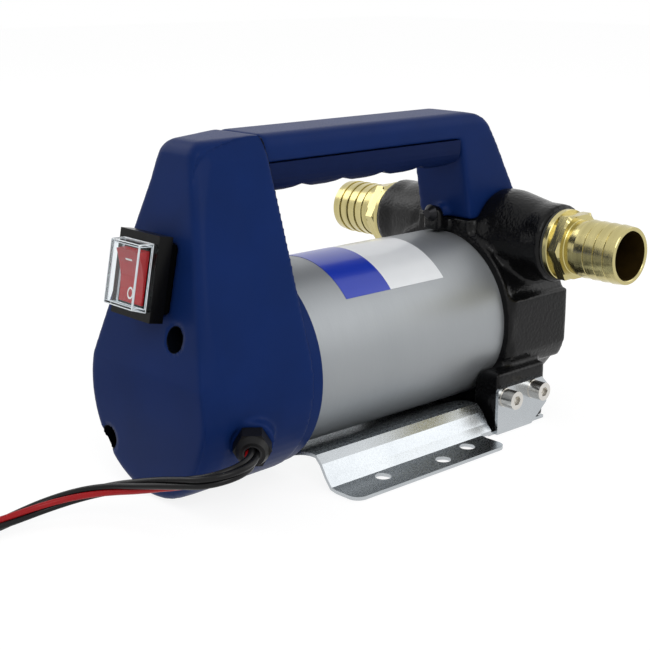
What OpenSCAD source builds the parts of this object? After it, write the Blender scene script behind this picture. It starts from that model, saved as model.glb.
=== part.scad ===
// Self-priming diesel transfer pump, 12 V, with carrying handle.
// X runs along the motor axis towards the pump head, Z is up, and the base plate stands on z = 0.
// x = 0 is the joint between the motor tube and the pump head.

/* [Motor] */
// Outer diameter of the motor tube
tube_od = 80; // [78:1:84]
// Wall of the motor tube
tube_wall = 2; // [1.5:0.25:2.5]
// Length of the motor tube
tube_length = 125; // [118:1:140]
// Gap between the motor tube and the floor
tube_lift = 7; // [6:0.5:12]
// Diameter of the shaft in its bearings
shaft_d = 10; // [8:0.5:12]
// Thickness of the magnets
magnet_t = 8.8; // [7.8:0.1:11.8]
// Distance of the laminated core from the pump head
core_back = 35; // [31:1:48]
// Number of slots in the laminated core
core_slots = 12; // [8:1:16]
// Air gap between core and magnets
air_gap = 1.2; // [0.8:0.1:1.6]

/* [Pump head] */
// Depth of the head from the motor tube to its front face
head_depth = 44; // [42:1:50]
// How far the pump chamber stands over the motor tube
head_over = 2; // [1:0.25:5]
// Diameter of the rotor
rotor_d = 42; // [38:1:43]
// Length of the rotor
rotor_length = 22; // [18:1:24]
// Offset of the chamber bore below the motor axis
rotor_offset = 3; // [2:0.25:3.5]
// Least gap between rotor and bore
bore_gap = 0.4; // [0.3:0.05:0.8]
// Thickness of a vane
vane_t = 5; // [4:0.5:6]
// Distance of the port axis above the motor axis
port_rise = 37.6; // [36:0.2:40]
// Place of the port axis along the motor axis
port_x = 25; // [24:0.5:27]
// Distance between the two port faces
port_span = 103; // [98:1:110]
// Diameter of a port boss at its face
port_boss_d = 36; // [34:1:38]

/* [Hose tails] */
// Outer diameter over the barbs
barb_od = 26.7; // [24:0.1:28]
// Bore of the hose tail
tail_bore = 22; // [18:0.5:23]
// Length from the collar face to the open end
tail_length = 36.2; // [32:0.1:42]
// Diameter of the collar that seats on the port
collar_d = 32.5; // [31:0.5:34]
// Number of barbs
barb_count = 4; // [3:1:5]

/* [Base plate] */
// Sheet thickness
plate_t = 1.5; // [1:0.25:2]
// Half width over the flanges
plate_half = 62; // [60:0.5:66]
// Length of the flanges
plate_length = 92.5; // [88:0.5:96]
// Height of the crest beside the tube
crest_rise = 12; // [9:0.5:13]
// Diameter of the fixing holes
hole_d = 7; // [5:0.5:8]
// Distance between the outer holes along the motor
hole_pitch = 52.5; // [46:0.5:56]
// Distance between the outer holes across the motor
hole_span = 103; // [102:0.5:105]
// Distance between the middle holes across the motor
hole_span_mid = 110; // [106:1:112]

/* [Handle] */
// Height of the top of the handle
handle_top = 143; // [138:0.5:150]
// Width of the handle
handle_w = 32; // [28:1:34]
// Depth of the shell above its joint with the grip
shell_depth = 11.7; // [10:0.1:14]
// Depth of the handle from its top to the finger lobes
grip_depth = 24; // [22:0.5:26]
// Number of finger lobes
lobes = 5; // [4:1:6]
// Wall of the handle shell
handle_wall = 3; // [2:0.25:4]

/* [Rear cover] */
// Wall of the cover
cover_wall = 2.5; // [2:0.25:3]
// Length of the cover behind the motor tube
cover_depth = 46.5; // [44:0.5:52]
// How far the cover stands over the motor tube
cover_over = 6; // [5.5:0.25:6.5]
// How far the cover draws in towards its rear face
cover_taper = 8.5; // [7:0.5:10]
// Half width of the cover's top at the front
cover_top_half = 18.5; // [18:0.5:21]
// Rounding of the rear edge
cover_round = 4; // [3:0.5:5]
// Width of the switch frame
switch_w = 26; // [24:0.5:27]
// Height of the switch frame
switch_h = 33.5; // [31:0.5:35]
// Thickness of the switch frame
switch_t = 6.3; // [5:0.1:7]

/* [Leads] */
// Diameter of the bundle of leads
cable_d = 6; // [6:0.5:6]
// Diameter of each tail to a clip
tail_d = 3; // [3:0.5:3]
// Number of loops in each layer of the coil
coil_loops = 4; // [3:1:4]

/* [Hidden] */
$fn = 64;
over = 1;
fit = 0.1;
running = 0.02;
seat = 0.3;

// motor
tube_r = tube_od / 2;
tube_ri = tube_r - tube_wall;
axis_height = tube_r + tube_lift;
spigot = 4;
spigot_wall = 4.5;
bearing_od = 26;
bearing_w = 8;
bearing_ring = 3.4;
shaft_shoulder = 13;
bell_t = 5;
bell_r = tube_r + 2.3;
bell_boss_t = 7;
bell_boss_wall = 4;
bell_cap_t = 3;
core_d = 2 * (tube_ri - magnet_t - air_gap);
magnet_over = 5;
magnet_angle = 124;
slot_w = 5;
slot_depth = 11;
tooth_lip = 1.6;
winding_t = 6;
winding_wall = 9;
comm_d = 26;
comm_length = 15;
comm_gap = 1;
comm_in = 10;
brush_w = 8;
brush_h = 6;
brush_length = 14;
brush_free = 0.05;
holder_wall = 1;
holder_length = 15;
card_t = 3;
bolt_d = 5;
bolt_in = 3.4;
bolt_r = tube_ri - bolt_in;
bolt_head_across = 8;
bolt_head_h = 4;
bolt_reach = 8;
screw_pilot = 3.3;
label_t = 0.15;
label_offset = 31;
label_length = 59;
label_dark_length = 26;
label_angle = 48;
shaft_short = 2;
winding_inset = 1;

// head
head_od = tube_od + 2 * head_over;
flange_r = tube_r + 3.5;
flange_t = 3;
chamber_back = 14;
seal_x = 4.3;
seal_w = 7;
seal_od = 22;
seal_lip = 2;
bore_r = rotor_d / 2 + rotor_offset + bore_gap;
bore_z = axis_height - rotor_offset;
lid_rim = 8;
lid_r = bore_r + lid_rim;
lid_x = chamber_back + rotor_length;
lid_t = head_depth - lid_x;
side_gap = 0.1;
lid_screw_d = 4;
lid_screws = 6;
lid_head_d = 7;
lid_head_h = 4;
lid_key = 3;
lid_screw_reach = 7;
ring_groove = 1;
ring_in = 0.8;
ring_out = 2;
vane_count = 5;
vane_lead = 135;
vane_h = 10;
vane_side = 0.05;
vane_tip = 0.2;
vane_tip_r = 6;
key_w = 3;
key_length = 14;
pad_over = 1.2;
pad_half = head_od / 2 + pad_over;
pad_drop = 21;
pad_rise = 13;
pad_low = axis_height - pad_drop;
pad_high = axis_height + pad_rise;
pad_reach = 3;
head_round = 2;
boss_root_d = 43;
boss_root_half = 24;
port_z = axis_height + port_rise;
port_face = port_span / 2;
thread_r = 13.2;
thread_depth = 16;
gallery_r = 7.5;
gallery_end = 10;
drop_r = 6.5;
drop_y = 17;
rest_rise = 8.9;
rest_z = port_z + rest_rise;
rest_half = handle_w / 2 + fit;
rest_x = 36;
cheek_rise = 13;
cheek_low = axis_height + cheek_rise;
cheek_half = 34;
cheek_reach = 16.5;
foot_half = 46.5;
foot_back = 11;
foot_front = 23;
foot_top = 28;
foot_wall = 14;
foot_low_top = 21.5;
relief_r = 7;
relief_in = 3;
relief_back = port_x - relief_in;
relief_seat_r = 4;
relief_run = 8.5;
relief_end = relief_back - relief_run;
relief_cross_r = 3;
relief_cross_in = 1;
relief_boss_r = 10;
relief_proud = 3;
relief_face = head_depth + relief_proud;
poppet_t = 4;
poppet_stem = 6;
poppet_stem_r = 2.6;
poppet_travel = 4;
spring_wire = 1.2;
spring_turns = 6;
spring_r = 5;
plug_t = 5;
plug_across = 17;
plug_shank = 8;
lug_r = 5.2;
lug_back = 8;
lug_front = 3.6;
lug_drop = 5.5;
lug_low = rest_z - lug_drop;
lug_screw_reach = 8;
lug_rise = 0.9;
lug_z = rest_z + lug_rise;
lug_screw_rise = 2.5;
lug_screw_z = rest_z + lug_screw_rise;
lug_screw_d = 4;
lug_head_d = 8;
lug_head_h = 2.6;

// hose tails
collar_t = 2.6;
hex_across = 29;
hex_t = 6.4;
neck_d = 24.6;
neck_t = 6;
barb_drop = 1;
tail_thread_d = 26;
tail_thread_length = 14;
gasket_t = 1;
strainer_t = 1;
strainer_length = 10;
strainer_hole_d = 3;
strainer_holes = 8;

// plate
plate_front = 21.5;
pan_front = 23.2;
pan_half = foot_half;
pan_back = 16;
crest_y = 36.5;
flange_in = 48;
saddle_rise = 2.6;
ear_back = 12;
ear_high = 21.6;
ear_low = 8.5;
ear_cut = 10.7;
ear_round = 4;
ear_nick = 1;
ear_screw_short = 2;
plate_corner = 5;
hole_front = 36.5;
hole_mid = 56;
sheet_steps = 40;
ear_hole_d = 5.5;
ear_screw_d = 5;
ear_head_d = 8.5;
ear_head_h = 5;
ear_screw_z = 17.3;
ear_screw_back = 7.6;
ear_screw_front = 12;
ear_screw_length = 16;
spring_washer_t = 1.3;
spring_washer_gap = 1;
flat_washer_t = 1;
flat_washer_d = 9;
hex_key = 4;
key_depth = 2.5;

// handle
seam_z = handle_top - shell_depth;
grip_low = handle_top - grip_depth;
post_back_top = 4.6;
post_back_drop = 5.3;
post_back_z = seam_z - post_back_drop;
post_back_low = 1.4;
post_front = 35.4;
post_front_rise = 7.5;
post_front_z = rest_z + post_front_rise;
post_nose = [[1.5, 0], [7, 1], [11, 3.2], [13.6, 6.2], [15.7, 9], [18.8, 13.8]];
post_step = 6;
post_boss_d = 7;
grip_front = 6.4;
handle_gap = 0;
top_round = 5;
grip_round = 8;
lobe_sag = 2.6;
grip_core = 6;
rear_screw_d = 4;
rear_screw_drop = 8;
rear_screw_z = handle_top - rear_screw_drop;
rear_boss = 8;
rear_screw_reach = 6;

// rear cover
cover_front_r = tube_r + cover_over;
cover_rear_r = cover_front_r - cover_taper;
cover_lap = 2.5;
front_x = cover_lap - tube_length;
rear_x = -tube_length - cover_depth;
bend_rise = 15;
bend_z = axis_height + bend_rise;
bend_r = 158.7;
cover_rear_drop = 6;
cover_rear_z = axis_height - cover_rear_drop;
cover_top_round = 6;
cover_rear_top_half = 13;
cover_top_drop = 1;
arc_steps = 36;
corner_steps = 6;
ring_r = tube_r + 5;
ring_length = 5.5;
cover_plate_t = 2.5;
recess_d = 10;
recess_wall = 1.6;
recess_seat = 3;
cover_screw_shares = [[-0.392, 0.506], [0.638, -0.683]];
cover_screw_d = 4;
cover_screw_head_d = 8;
cover_screw_head_h = 3;

// switch
switch_rise = 29;
switch_z = bend_z + switch_rise;
switch_lean = 11;
switch_sink = 1;
switch_window_w = 15;
switch_window_h = 22.5;
switch_box_w = 19;
switch_box_h = 27;
switch_box_depth = 18;
switch_box_wall = 1.4;
rocker_half = 7.2;
rocker_reach = 10.3;
rocker_dish_shares = [[1, 0.9], [0.5, 0.7], [0, 0.62]];
rocker_lean = 11;
rocker_axis = 2;
rocker_rise = 5.2;
rocker_foot = 5;
rocker_pin_d = 3;
hood_w = 19.6;
hood_h = 26.5;
hood_rise = 6.2;
hood_wall = 1;
hood_draft_share = 0.94;
tab_w = 6.3;
tab_y = 4.8;
tab_t = 0.8;
tab_length = 9;

// gland
gland_home = [-152.8, -44, 30.3];
gland_back = 27.8;
gland_in = 2;
gland_drop = 16.7;
gland_x = -tube_length - gland_back;
gland_y = gland_in - cover_front_r;
gland_z = axis_height - gland_drop;
gland_tilt = 8;
gland_turn = 40;
gland_across = 13;
gland_base_t = 3;
gland_nut_t = 7;
gland_thread_d = 11;
gland_inner = 20;
gland_lock_t = 3;
gland_bore = 7;
gland_boss_d = 17;
gland_boss_t = 16;
gland_face_drop = 3;
gland_seal_wall = 0.3;
gland_hex_share = 0.6;

// leads, coil, clips
ring_step_share = 2.4;
coil_inner = 24;
coil_pitch = 6.7;
coil_lift = 6.6;
coil_rings = 24;
coil_sides = 6;
tie_w = 6;
tie_t = 0.8;
tie_gap = 0.3;
tie_lock = 5;
tie_share = 0.55;
clip_w = 12;
clip_sheet = 1;
clip_pin_d = 3;
clip_rivet = 0.8;
clip_rivet_d = 5;
clip_wire = 1;
clip_spring_half = 3;
clip_leg_low = [20, 1.7];
clip_leg_high = [20, 21.2];
crimp_start = 4;
crimp_length = 6;
crimp_d = 5;

// Shared shapes

module along_x(x = 0, z = axis_height, y = 0) translate([x, y, z]) rotate([0, 90, 0]) children();

module round_bar(x1, x2, r, z = axis_height, y = 0) along_x(x1, z, y) cylinder(h = x2 - x1, r = r);

module ring_bar(x1, x2, r, ri, z = axis_height, y = 0) difference() {
  round_bar(x1, x2, r, z, y);
  round_bar(x1 - over, x2 + over, ri, z, y);
}

module hex_bar(x1, x2, across, z, y = 0) along_x(x1, z, y)
  cylinder(h = x2 - x1, d = across / cos(30), $fn = 6);

// Extrudes an outline drawn in x and z across the part
module across_y(y1, y2) translate([0, y2, 0]) rotate([90, 0, 0]) linear_extrude(height = y2 - y1)
  children();

// Extrudes an outline drawn in y and z along the motor
module along_motor(x1, x2) translate([x1, 0, 0]) rotate([90, 0, 90]) linear_extrude(height = x2 - x1)
  children();

function unit(v) = v / norm(v);

// A smooth curve through the points of a route
function spline(p, i, t) = let (
    a = p[max(i - 1, 0)], b = p[i], c = p[i + 1], d = p[min(i + 2, len(p) - 1)]
  ) ((2 * b) + (c - a) * t + (2 * a - 5 * b + 4 * c - d) * t * t + (3 * b - a - 3 * c + d) * t * t * t) / 2;

function smooth_route(p, steps) = concat(
    [for (i = [0 : len(p) - 2]) for (k = [0 : steps - 1]) spline(p, i, k / steps)],
    [p[len(p) - 1]]);

// One closed tube along points, with its rings kept upright to the given direction
module tube_along(p, r, sides, up = [0, 0, 1]) {
  n = len(p);
  rings = [for (i = [0 : n - 1]) let (
      t = unit(p[min(i + 1, n - 1)] - p[max(i - 1, 0)]),
      u = unit(cross(t, up)),
      v = cross(u, t)
    ) for (k = [0 : sides - 1]) let (a = 360 * (k + 0.5) / sides) p[i] + r * (cos(a) * u + sin(a) * v)];
  walls = [for (i = [0 : n - 2]) for (k = [0 : sides - 1]) let (
      a = i * sides + k, b = i * sides + (k + 1) % sides
    ) each [[a, a + sides, b], [b, a + sides, b + sides]]];
  caps = [for (k = [1 : sides - 2])
    each [[0, k, k + 1], [(n - 1) * sides, (n - 1) * sides + k + 1, (n - 1) * sides + k]]];
  polyhedron(rings, concat(walls, caps));
}

// Motor

module motor_tube() color("silver") ring_bar(-tube_length, 0, tube_r, tube_ri);

module label() {
  module band(x1, x2) intersection() {
    ring_bar(x1, x2, tube_r + label_t, tube_r);
    translate([0, 0, axis_height]) rotate([90, 0, 90]) translate([0, 0, x1 - over])
      linear_extrude(height = x2 - x1 + 2 * over)
        polygon([[0, 0], tube_od * [-sin(label_angle), cos(label_angle)], tube_od * [0, 1.5],
          tube_od * [sin(label_angle), cos(label_angle)]]);
  }
  rear = -label_offset - label_length;
  color("white") band(rear + label_dark_length, -label_offset);
  color("navy") band(rear, rear + label_dark_length);
}

comm_rear = comm_in - tube_length;
comm_front = comm_rear + comm_length;
core_rear = comm_front + comm_gap + winding_t;
core_front = -core_back;
core_length = core_front - core_rear;
cover_screw_spots = [for (q = cover_screw_shares) [q[0] * bell_r, axis_height + q[1] * bell_r]];

module magnets() color("dimgray") for (side = [-1, 1]) intersection() {
  ring_bar(core_rear - magnet_over, core_front + magnet_over, tube_ri, core_d / 2 + air_gap);
  translate([0, 0, axis_height]) rotate([90, 0, 90]) translate([0, 0, -tube_length])
    linear_extrude(height = tube_length)
      polygon([[0, 0], side * tube_od * [cos(magnet_angle / 2), sin(magnet_angle / 2)],
        side * tube_od * [2, 0], side * tube_od * [cos(magnet_angle / 2), -sin(magnet_angle / 2)]]);
}

bell_x = -tube_length;
rear_bearing_x = bell_x - bell_t - bell_boss_t + bell_cap_t;

module bolt_places() for (side = [-1, 1]) translate([0, 0, side * bolt_r]) children();

module end_bell() color("gray") difference() {
  union() {
    round_bar(bell_x - bell_t, bell_x, bell_r);
    ring_bar(bell_x, bell_x + bell_t, tube_ri - fit, tube_ri - fit - spigot_wall);
    round_bar(bell_x - bell_t - bell_boss_t, bell_x, bearing_od / 2 + bell_boss_wall);
  }
  round_bar(rear_bearing_x, bell_x + over, bearing_od / 2);
  round_bar(rear_bearing_x - over, rear_bearing_x + over, bearing_od / 2 - bearing_ring);
  bolt_places() round_bar(bell_x - bell_t - over, bell_x + bell_t + over, bolt_d / 2 + fit);
  for (p = cover_screw_spots)
    round_bar(bell_x - bell_t - over, bell_x + over, cover_screw_d / 2, z = p[1], y = p[0]);
}

module bearing(x) color("lightgray") rotate_bearing(x);

module rotate_bearing(x) along_x(x) rotate_extrude() difference() {
  translate([shaft_d / 2 + running, 0]) square([bearing_od / 2 - shaft_d / 2 - running, bearing_w]);
  for (z = [0, bearing_w]) translate([(bearing_od + shaft_d) / 4, z])
    square([bearing_ring / 2, bearing_ring / 4], center = true);
}

module rear_bearing() bearing(rear_bearing_x);
module front_bearing() bearing(-spigot);

card_x = bell_x + bell_t;

module brush_card() color("peru") {
  difference() {
    ring_bar(card_x, card_x + card_t, tube_ri - fit, comm_d / 2 + 3 * comm_gap);
    bolt_places() round_bar(card_x - over, card_x + card_t + over, bolt_d / 2 + fit);
  }
  for (side = [-1, 1]) holder(side);
}

brush_x = comm_rear + comm_length / 2;

module holder(side) difference() {
  y1 = comm_d / 2 + comm_gap;
  translate([card_x + card_t, side > 0 ? y1 : -y1 - holder_length,
    axis_height - brush_h / 2 - holder_wall - fit])
    cube([brush_x + brush_w / 2 + fit + holder_wall - card_x - card_t, holder_length,
      brush_h + 2 * holder_wall + 2 * fit]);
  translate([brush_x - brush_w / 2 - fit, side > 0 ? y1 - over : -y1 - holder_length - over,
    axis_height - brush_h / 2 - fit])
    cube([brush_w + 2 * fit, holder_length + 2 * over, brush_h + 2 * fit]);
}

module brushes() color("black") for (side = [-1, 1]) difference() {
  translate([brush_x - brush_w / 2, side > 0 ? 0 : -comm_d / 2 - brush_length, axis_height - brush_h / 2])
    cube([brush_w, comm_d / 2 + brush_length, brush_h]);
  round_bar(comm_rear - over, comm_front + over, comm_d / 2 + brush_free);
}

shaft_rear = rear_bearing_x + comm_gap / 2;
shaft_front = lid_x - shaft_short;

module armature_shaft() color("silver") difference() {
  union() {
    round_bar(shaft_rear, shaft_front, shaft_d / 2);
    round_bar(rear_bearing_x + bearing_w + seat, -spigot - seat, shaft_shoulder / 2);
  }
  key_slot();
}

module armature_core() color("dimgray") along_x(core_rear) linear_extrude(height = core_length)
  difference() {
  circle(d = core_d);
  circle(d = shaft_shoulder);
  for (i = [0 : core_slots - 1]) rotate(i * 360 / core_slots) {
    translate([core_d / 2 - tooth_lip - slot_depth, -slot_w / 2]) square([slot_depth, slot_w]);
    translate([core_d / 2 - tooth_lip - over, -tooth_lip / 2]) square([tooth_lip + 2 * over, tooth_lip]);
  }
}

module armature_winding() color("chocolate") {
  wind_r = core_d / 2 - tooth_lip - winding_inset;
  for (x = [core_rear - winding_t, core_front]) along_x(x) rotate_extrude() difference() {
    translate([shaft_shoulder / 2 + comm_gap, 0])
      square([wind_r - shaft_shoulder / 2 - comm_gap, winding_t]);
    translate([shaft_shoulder / 2, x < core_front ? -over : winding_t / 2])
      square([wind_r / 3, winding_t / 2 + over]);
  }
}

module commutator() color("goldenrod") along_x(comm_rear) linear_extrude(height = comm_length)
  difference() {
  circle(d = comm_d);
  circle(d = shaft_shoulder);
  for (i = [0 : core_slots - 1]) rotate((i + 0.5) * 360 / core_slots)
    translate([comm_d / 2 - comm_gap, -comm_gap / 4]) square([comm_gap + over, comm_gap / 2]);
}

module through_bolts() color("silver") bolt_places() {
  round_bar(bell_x - bell_t, bolt_reach, bolt_d / 2);
  hex_bar(bell_x - bell_t - bolt_head_h, bell_x - bell_t, bolt_head_across, axis_height);
}

// Pump head

module key_slot() translate([chamber_back + side_gap + (rotor_length - key_length) / 2, -key_w / 2,
  axis_height + shaft_d / 2 - key_w / 2])
  cube([key_length, key_w, key_w]);

module drive_key() color("gray") key_slot();

module lid_places(r) for (i = [0 : lid_screws - 1]) let (a = 360 * (i + 0.5) / lid_screws)
  translate([0, r * sin(a), r * cos(a)]) children();

lid_screw_r = (bore_r + lid_r) / 2;

module head_outline() {
  round_bar(0, flange_t, flange_r);
  along_x(0) cylinder(h = head_depth - head_round, d = head_od);
  along_x(head_depth - head_round) cylinder(h = head_round, d1 = head_od, d2 = head_od - 2 * head_round);
  // side pads
  intersection() {
    translate([flange_t, -pad_half, pad_low])
      cube([head_depth - flange_t - head_round, 2 * pad_half, pad_high - pad_low]);
    round_bar(0, head_depth, head_od / 2 + pad_reach);
  }
  // port bosses
  for (side = [-1, 1]) translate([port_x, 0, port_z]) rotate([side * 90, 0, 0]) {
    cylinder(h = port_face, d = port_boss_d);
    cylinder(h = boss_root_half, d = boss_root_d);
    translate([0, 0, boss_root_half]) cylinder(h = port_face / 3, d1 = boss_root_d, d2 = port_boss_d);
  }
  // cheeks between the bosses and the chamber
  across_y(-cheek_half, cheek_half) polygon([
    [port_x - cheek_reach, port_z], [port_x + cheek_reach, port_z],
    [head_depth - head_round, cheek_low], [head_depth - head_round, axis_height],
    [flange_t, axis_height], [flange_t, cheek_low]]);
  // seat of the handle post
  translate([0, -rest_half, cheek_low]) cube([head_depth - head_round, 2 * rest_half, rest_z - cheek_low]);
  // lug for the handle screw
  round_bar(-lug_back, -lug_front, lug_r, z = lug_z);
  translate([-lug_back, -lug_r, lug_low]) cube([lug_back + over, 2 * lug_r, rest_z - lug_low]);
  // feet
  difference() {
    for (side = [-1, 1]) translate([-foot_back, side > 0 ? foot_half - foot_wall : -foot_half, plate_t])
      cube([foot_front + foot_back, foot_wall, foot_top - plate_t]);
    round_bar(-foot_back - over, 0, tube_r + seat);
  }
  translate([0, -foot_half, plate_t]) cube([foot_front, 2 * foot_half, foot_low_top - plate_t]);
  // spigot in the tube and seat of the bearing
  round_bar(-spigot, over, tube_ri - fit);
  // boss of the relief valve
  round_bar(head_depth / 2, relief_face, relief_boss_r, z = port_z);
}

module pump_head() color("#1b1b1d") difference() {
  head_outline();
  // hollow between spigot and bearing seat
  ring_bar(-spigot - over, 0, tube_ri - fit - spigot_wall, bearing_od / 2 + bell_boss_wall);
  // bearing, seal and shaft
  round_bar(-spigot - over, bearing_w - spigot, bearing_od / 2);
  round_bar(0, seal_x + seal_w, seal_od / 2);
  round_bar(0, chamber_back + over, shaft_d / 2 + seat);
  // eccentric chamber and its lid seat
  round_bar(chamber_back, head_depth + over, bore_r, z = bore_z);
  round_bar(lid_x, head_depth + over, lid_r + fit, z = bore_z);
  lid_places(lid_screw_r) round_bar(lid_x - 2 * lid_screw_d, lid_x + over, lid_screw_d / 2, z = bore_z);
  // ports, galleries and drops to the chamber
  for (side = [-1, 1]) {
    translate([port_x, 0, port_z]) rotate([side * 90, 0, 0]) {
      translate([0, 0, port_face - thread_depth]) cylinder(h = thread_depth + over, r = thread_r);
      translate([0, 0, side > 0 ? relief_r - over : gallery_end])
        cylinder(h = port_face - gallery_end, r = gallery_r);
    }
    translate([port_x, side * drop_y, bore_z]) cylinder(h = port_z - bore_z, r = drop_r);
  }
  // relief valve
  round_bar(relief_back, relief_face + over, relief_r, z = port_z);
  round_bar(relief_end, relief_back + over, relief_seat_r, z = port_z);
  translate([relief_end + relief_cross_in + relief_cross_r, 0, port_z]) rotate([-90, 0, 0])
    cylinder(h = port_face / 2, r = relief_cross_r);
  // through bolts, handle screw, ear screws
  bolt_places() round_bar(-spigot - over, bolt_reach + over, bolt_d / 2);
  round_bar(-lug_back - over, 0, lug_screw_d / 2 + fit, z = lug_screw_z);
  ear_places() cylinder(h = ear_screw_length, r = ear_screw_d / 2);
  // room for the post between the bosses
  translate([-over, -rest_half, rest_z])
    cube([rest_x + 2 * over + port_boss_d, 2 * rest_half, port_boss_d]);
}

module shaft_seal() color("#222222") along_x(seal_x) rotate_extrude() difference() {
  translate([shaft_d / 2 + running, 0]) square([seal_od / 2 - shaft_d / 2 - running, seal_w]);
  translate([shaft_d / 2 + seal_lip, seal_w / 2])
    square([seal_od / 2 - shaft_d / 2 - 2 * seal_lip, seal_w]);
}

function vane_angle(i) = vane_lead + i * 360 / vane_count;

module vane_slots(extra) for (i = [0 : vane_count - 1]) rotate(vane_angle(i))
  translate([rotor_d / 2 - vane_h - 2 * vane_tip, -vane_t / 2 - extra])
    square([vane_h + 3 * over, vane_t + 2 * extra]);

// In this frame an angle of zero points up, and the angle grows towards -y, the way the rotor runs
module rotor_frame(x) translate([x, 0, axis_height]) rotate([90, 0, 90]) rotate(90) children();

module pump_rotor() color("gray") difference() {
  rotor_frame(chamber_back + side_gap) linear_extrude(height = rotor_length - 2 * side_gap) difference() {
    circle(d = rotor_d);
    circle(d = shaft_d);
    vane_slots(vane_side);
  }
  key_slot();
}

module vane(i) color("#2c2c30") rotor_frame(chamber_back + side_gap) rotate(vane_angle(i))
  linear_extrude(height = rotor_length - 2 * side_gap) translate([rotor_d / 2 + vane_tip / 2, 0])
    intersection() {
    translate([-vane_h - vane_tip, -vane_t / 2]) square([vane_h + vane_tip + over, vane_t]);
    translate([-vane_tip_r, 0]) circle(r = vane_tip_r);
  }

module vane_1() vane(0);
module vane_2() vane(1);
module vane_3() vane(2);
module vane_4() vane(3);
module vane_5() vane(4);

module front_lid() color("#1f1f22") difference() {
  round_bar(lid_x, head_depth, lid_r, z = bore_z);
  lid_places(lid_screw_r) {
    round_bar(lid_x - over, head_depth + over, lid_screw_d / 2 + fit, z = bore_z);
    round_bar(head_depth - lid_head_h, head_depth + over, lid_head_d / 2 + fit, z = bore_z);
  }
  ring_bar(lid_x - over, lid_x + ring_groove, bore_r + ring_out, bore_r + ring_in, z = bore_z);
}

module lid_seal() color("black")
  ring_bar(lid_x, lid_x + ring_groove, bore_r + ring_out, bore_r + ring_in, z = bore_z);

module lid_screws() color("silver") lid_places(lid_screw_r) difference() {
  union() {
    round_bar(lid_x - lid_screw_reach, head_depth - lid_head_h + over, lid_screw_d / 2, z = bore_z);
    round_bar(head_depth - lid_head_h, head_depth, lid_head_d / 2, z = bore_z);
  }
  hex_bar(head_depth - key_depth, head_depth + over, lid_key, bore_z);
}

module relief_poppet() color("goldenrod") {
  round_bar(relief_back + fit, relief_back + poppet_t, relief_r - running, z = port_z);
  round_bar(relief_back + poppet_t, relief_back + poppet_t + poppet_stem, poppet_stem_r, z = port_z);
}

plug_inner = relief_face - plug_shank;

module relief_spring() {
  x1 = relief_back + poppet_t + spring_wire / 2;
  x2 = plug_inner - spring_wire / 2;
  steps = 10;
  pts = [for (i = [0 : steps * spring_turns]) let (s = i / steps, a = 360 * s)
    [x1 + (x2 - x1) * s / spring_turns, spring_r * cos(a), port_z + spring_r * sin(a)]];
  color("silver") tube_along(pts, spring_wire / 2, 6, up = [1, 0, 0]);
}

module relief_plug() color("goldenrod") {
  ring_bar(plug_inner, relief_face, relief_r, poppet_stem_r + 2 * seat, z = port_z);
  hex_bar(relief_face, relief_face + plug_t, plug_across, port_z);
}

// Hose tails

barb_zone = tail_length - collar_t - hex_t - neck_t;
barb_step = barb_zone / barb_count;

module hose_tail(side) color("#d4b25a") translate([port_x, side * port_face, port_z])
  rotate([-side * 90, 0, 0]) {
  translate([0, 0, gasket_t]) difference() {
    union() {
      translate([0, 0, -gasket_t - tail_thread_length])
        cylinder(h = tail_thread_length + gasket_t + over, d = tail_thread_d);
      cylinder(h = collar_t, d = collar_d);
      translate([0, 0, collar_t]) cylinder(h = hex_t, d = hex_across / cos(30), $fn = 6);
      translate([0, 0, collar_t + hex_t]) cylinder(h = neck_t + over, d = neck_d);
      for (i = [0 : barb_count - 1]) translate([0, 0, collar_t + hex_t + neck_t + i * barb_step])
        cylinder(h = barb_step, d1 = barb_od, d2 = barb_od - 2 * barb_drop);
    }
    translate([0, 0, -gasket_t - tail_thread_length - over])
      cylinder(h = tail_thread_length + tail_length + 3 * over, d = tail_bore);
  }
}

module inlet_tail() hose_tail(-1);
module outlet_tail() hose_tail(1);

module port_gaskets() color("#333333") for (side = [-1, 1]) translate([port_x, side * port_face, port_z])
  rotate([-side * 90, 0, 0]) difference() {
    cylinder(h = gasket_t, d = collar_d);
    translate([0, 0, -over]) cylinder(h = gasket_t + 2 * over, r = thread_r);
  }

module inlet_strainer() color("lightgray") translate([port_x, -port_face + thread_depth, port_z])
  rotate([90, 0, 0]) difference() {
  cylinder(h = strainer_t, r = thread_r - fit);
  for (i = [0 : strainer_holes - 1]) rotate(i * 360 / strainer_holes)
    translate([gallery_r - strainer_hole_d, 0, -over])
      cylinder(h = strainer_t + 2 * over, d = strainer_hole_d);
  translate([0, 0, -over]) cylinder(h = strainer_t + 2 * over, d = strainer_hole_d);
}

// Base plate

function sheet_z(y) = let (a = abs(y)) plate_t / 2 + (a >= flange_in ? 0
  : a >= crest_y ? crest_rise * (1 + cos(180 * (a - crest_y) / (flange_in - crest_y))) / 2
  : saddle_rise + (crest_rise - saddle_rise) * (1 - cos(180 * a / crest_y)) / 2);

function sheet_side(s) = [for (i = [0 : sheet_steps]) let (
    y = -plate_half + 2 * plate_half * i / sheet_steps,
    e = plate_half / sheet_steps / 4,
    n = unit([sheet_z(y - e) - sheet_z(y + e), 2 * e])
  ) [y, sheet_z(y)] + s * plate_t / 2 * (abs(y) > flange_in ? [0, 1] : n)];

function backwards(p) = [for (i = [len(p) - 1 : -1 : 0]) p[i]];

module ear_places() for (side = [-1, 1]) for (x = [-ear_screw_back, ear_screw_front])
  translate([x, side * foot_half, ear_screw_z]) rotate([side * 90, 0, 0]) children();

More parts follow.
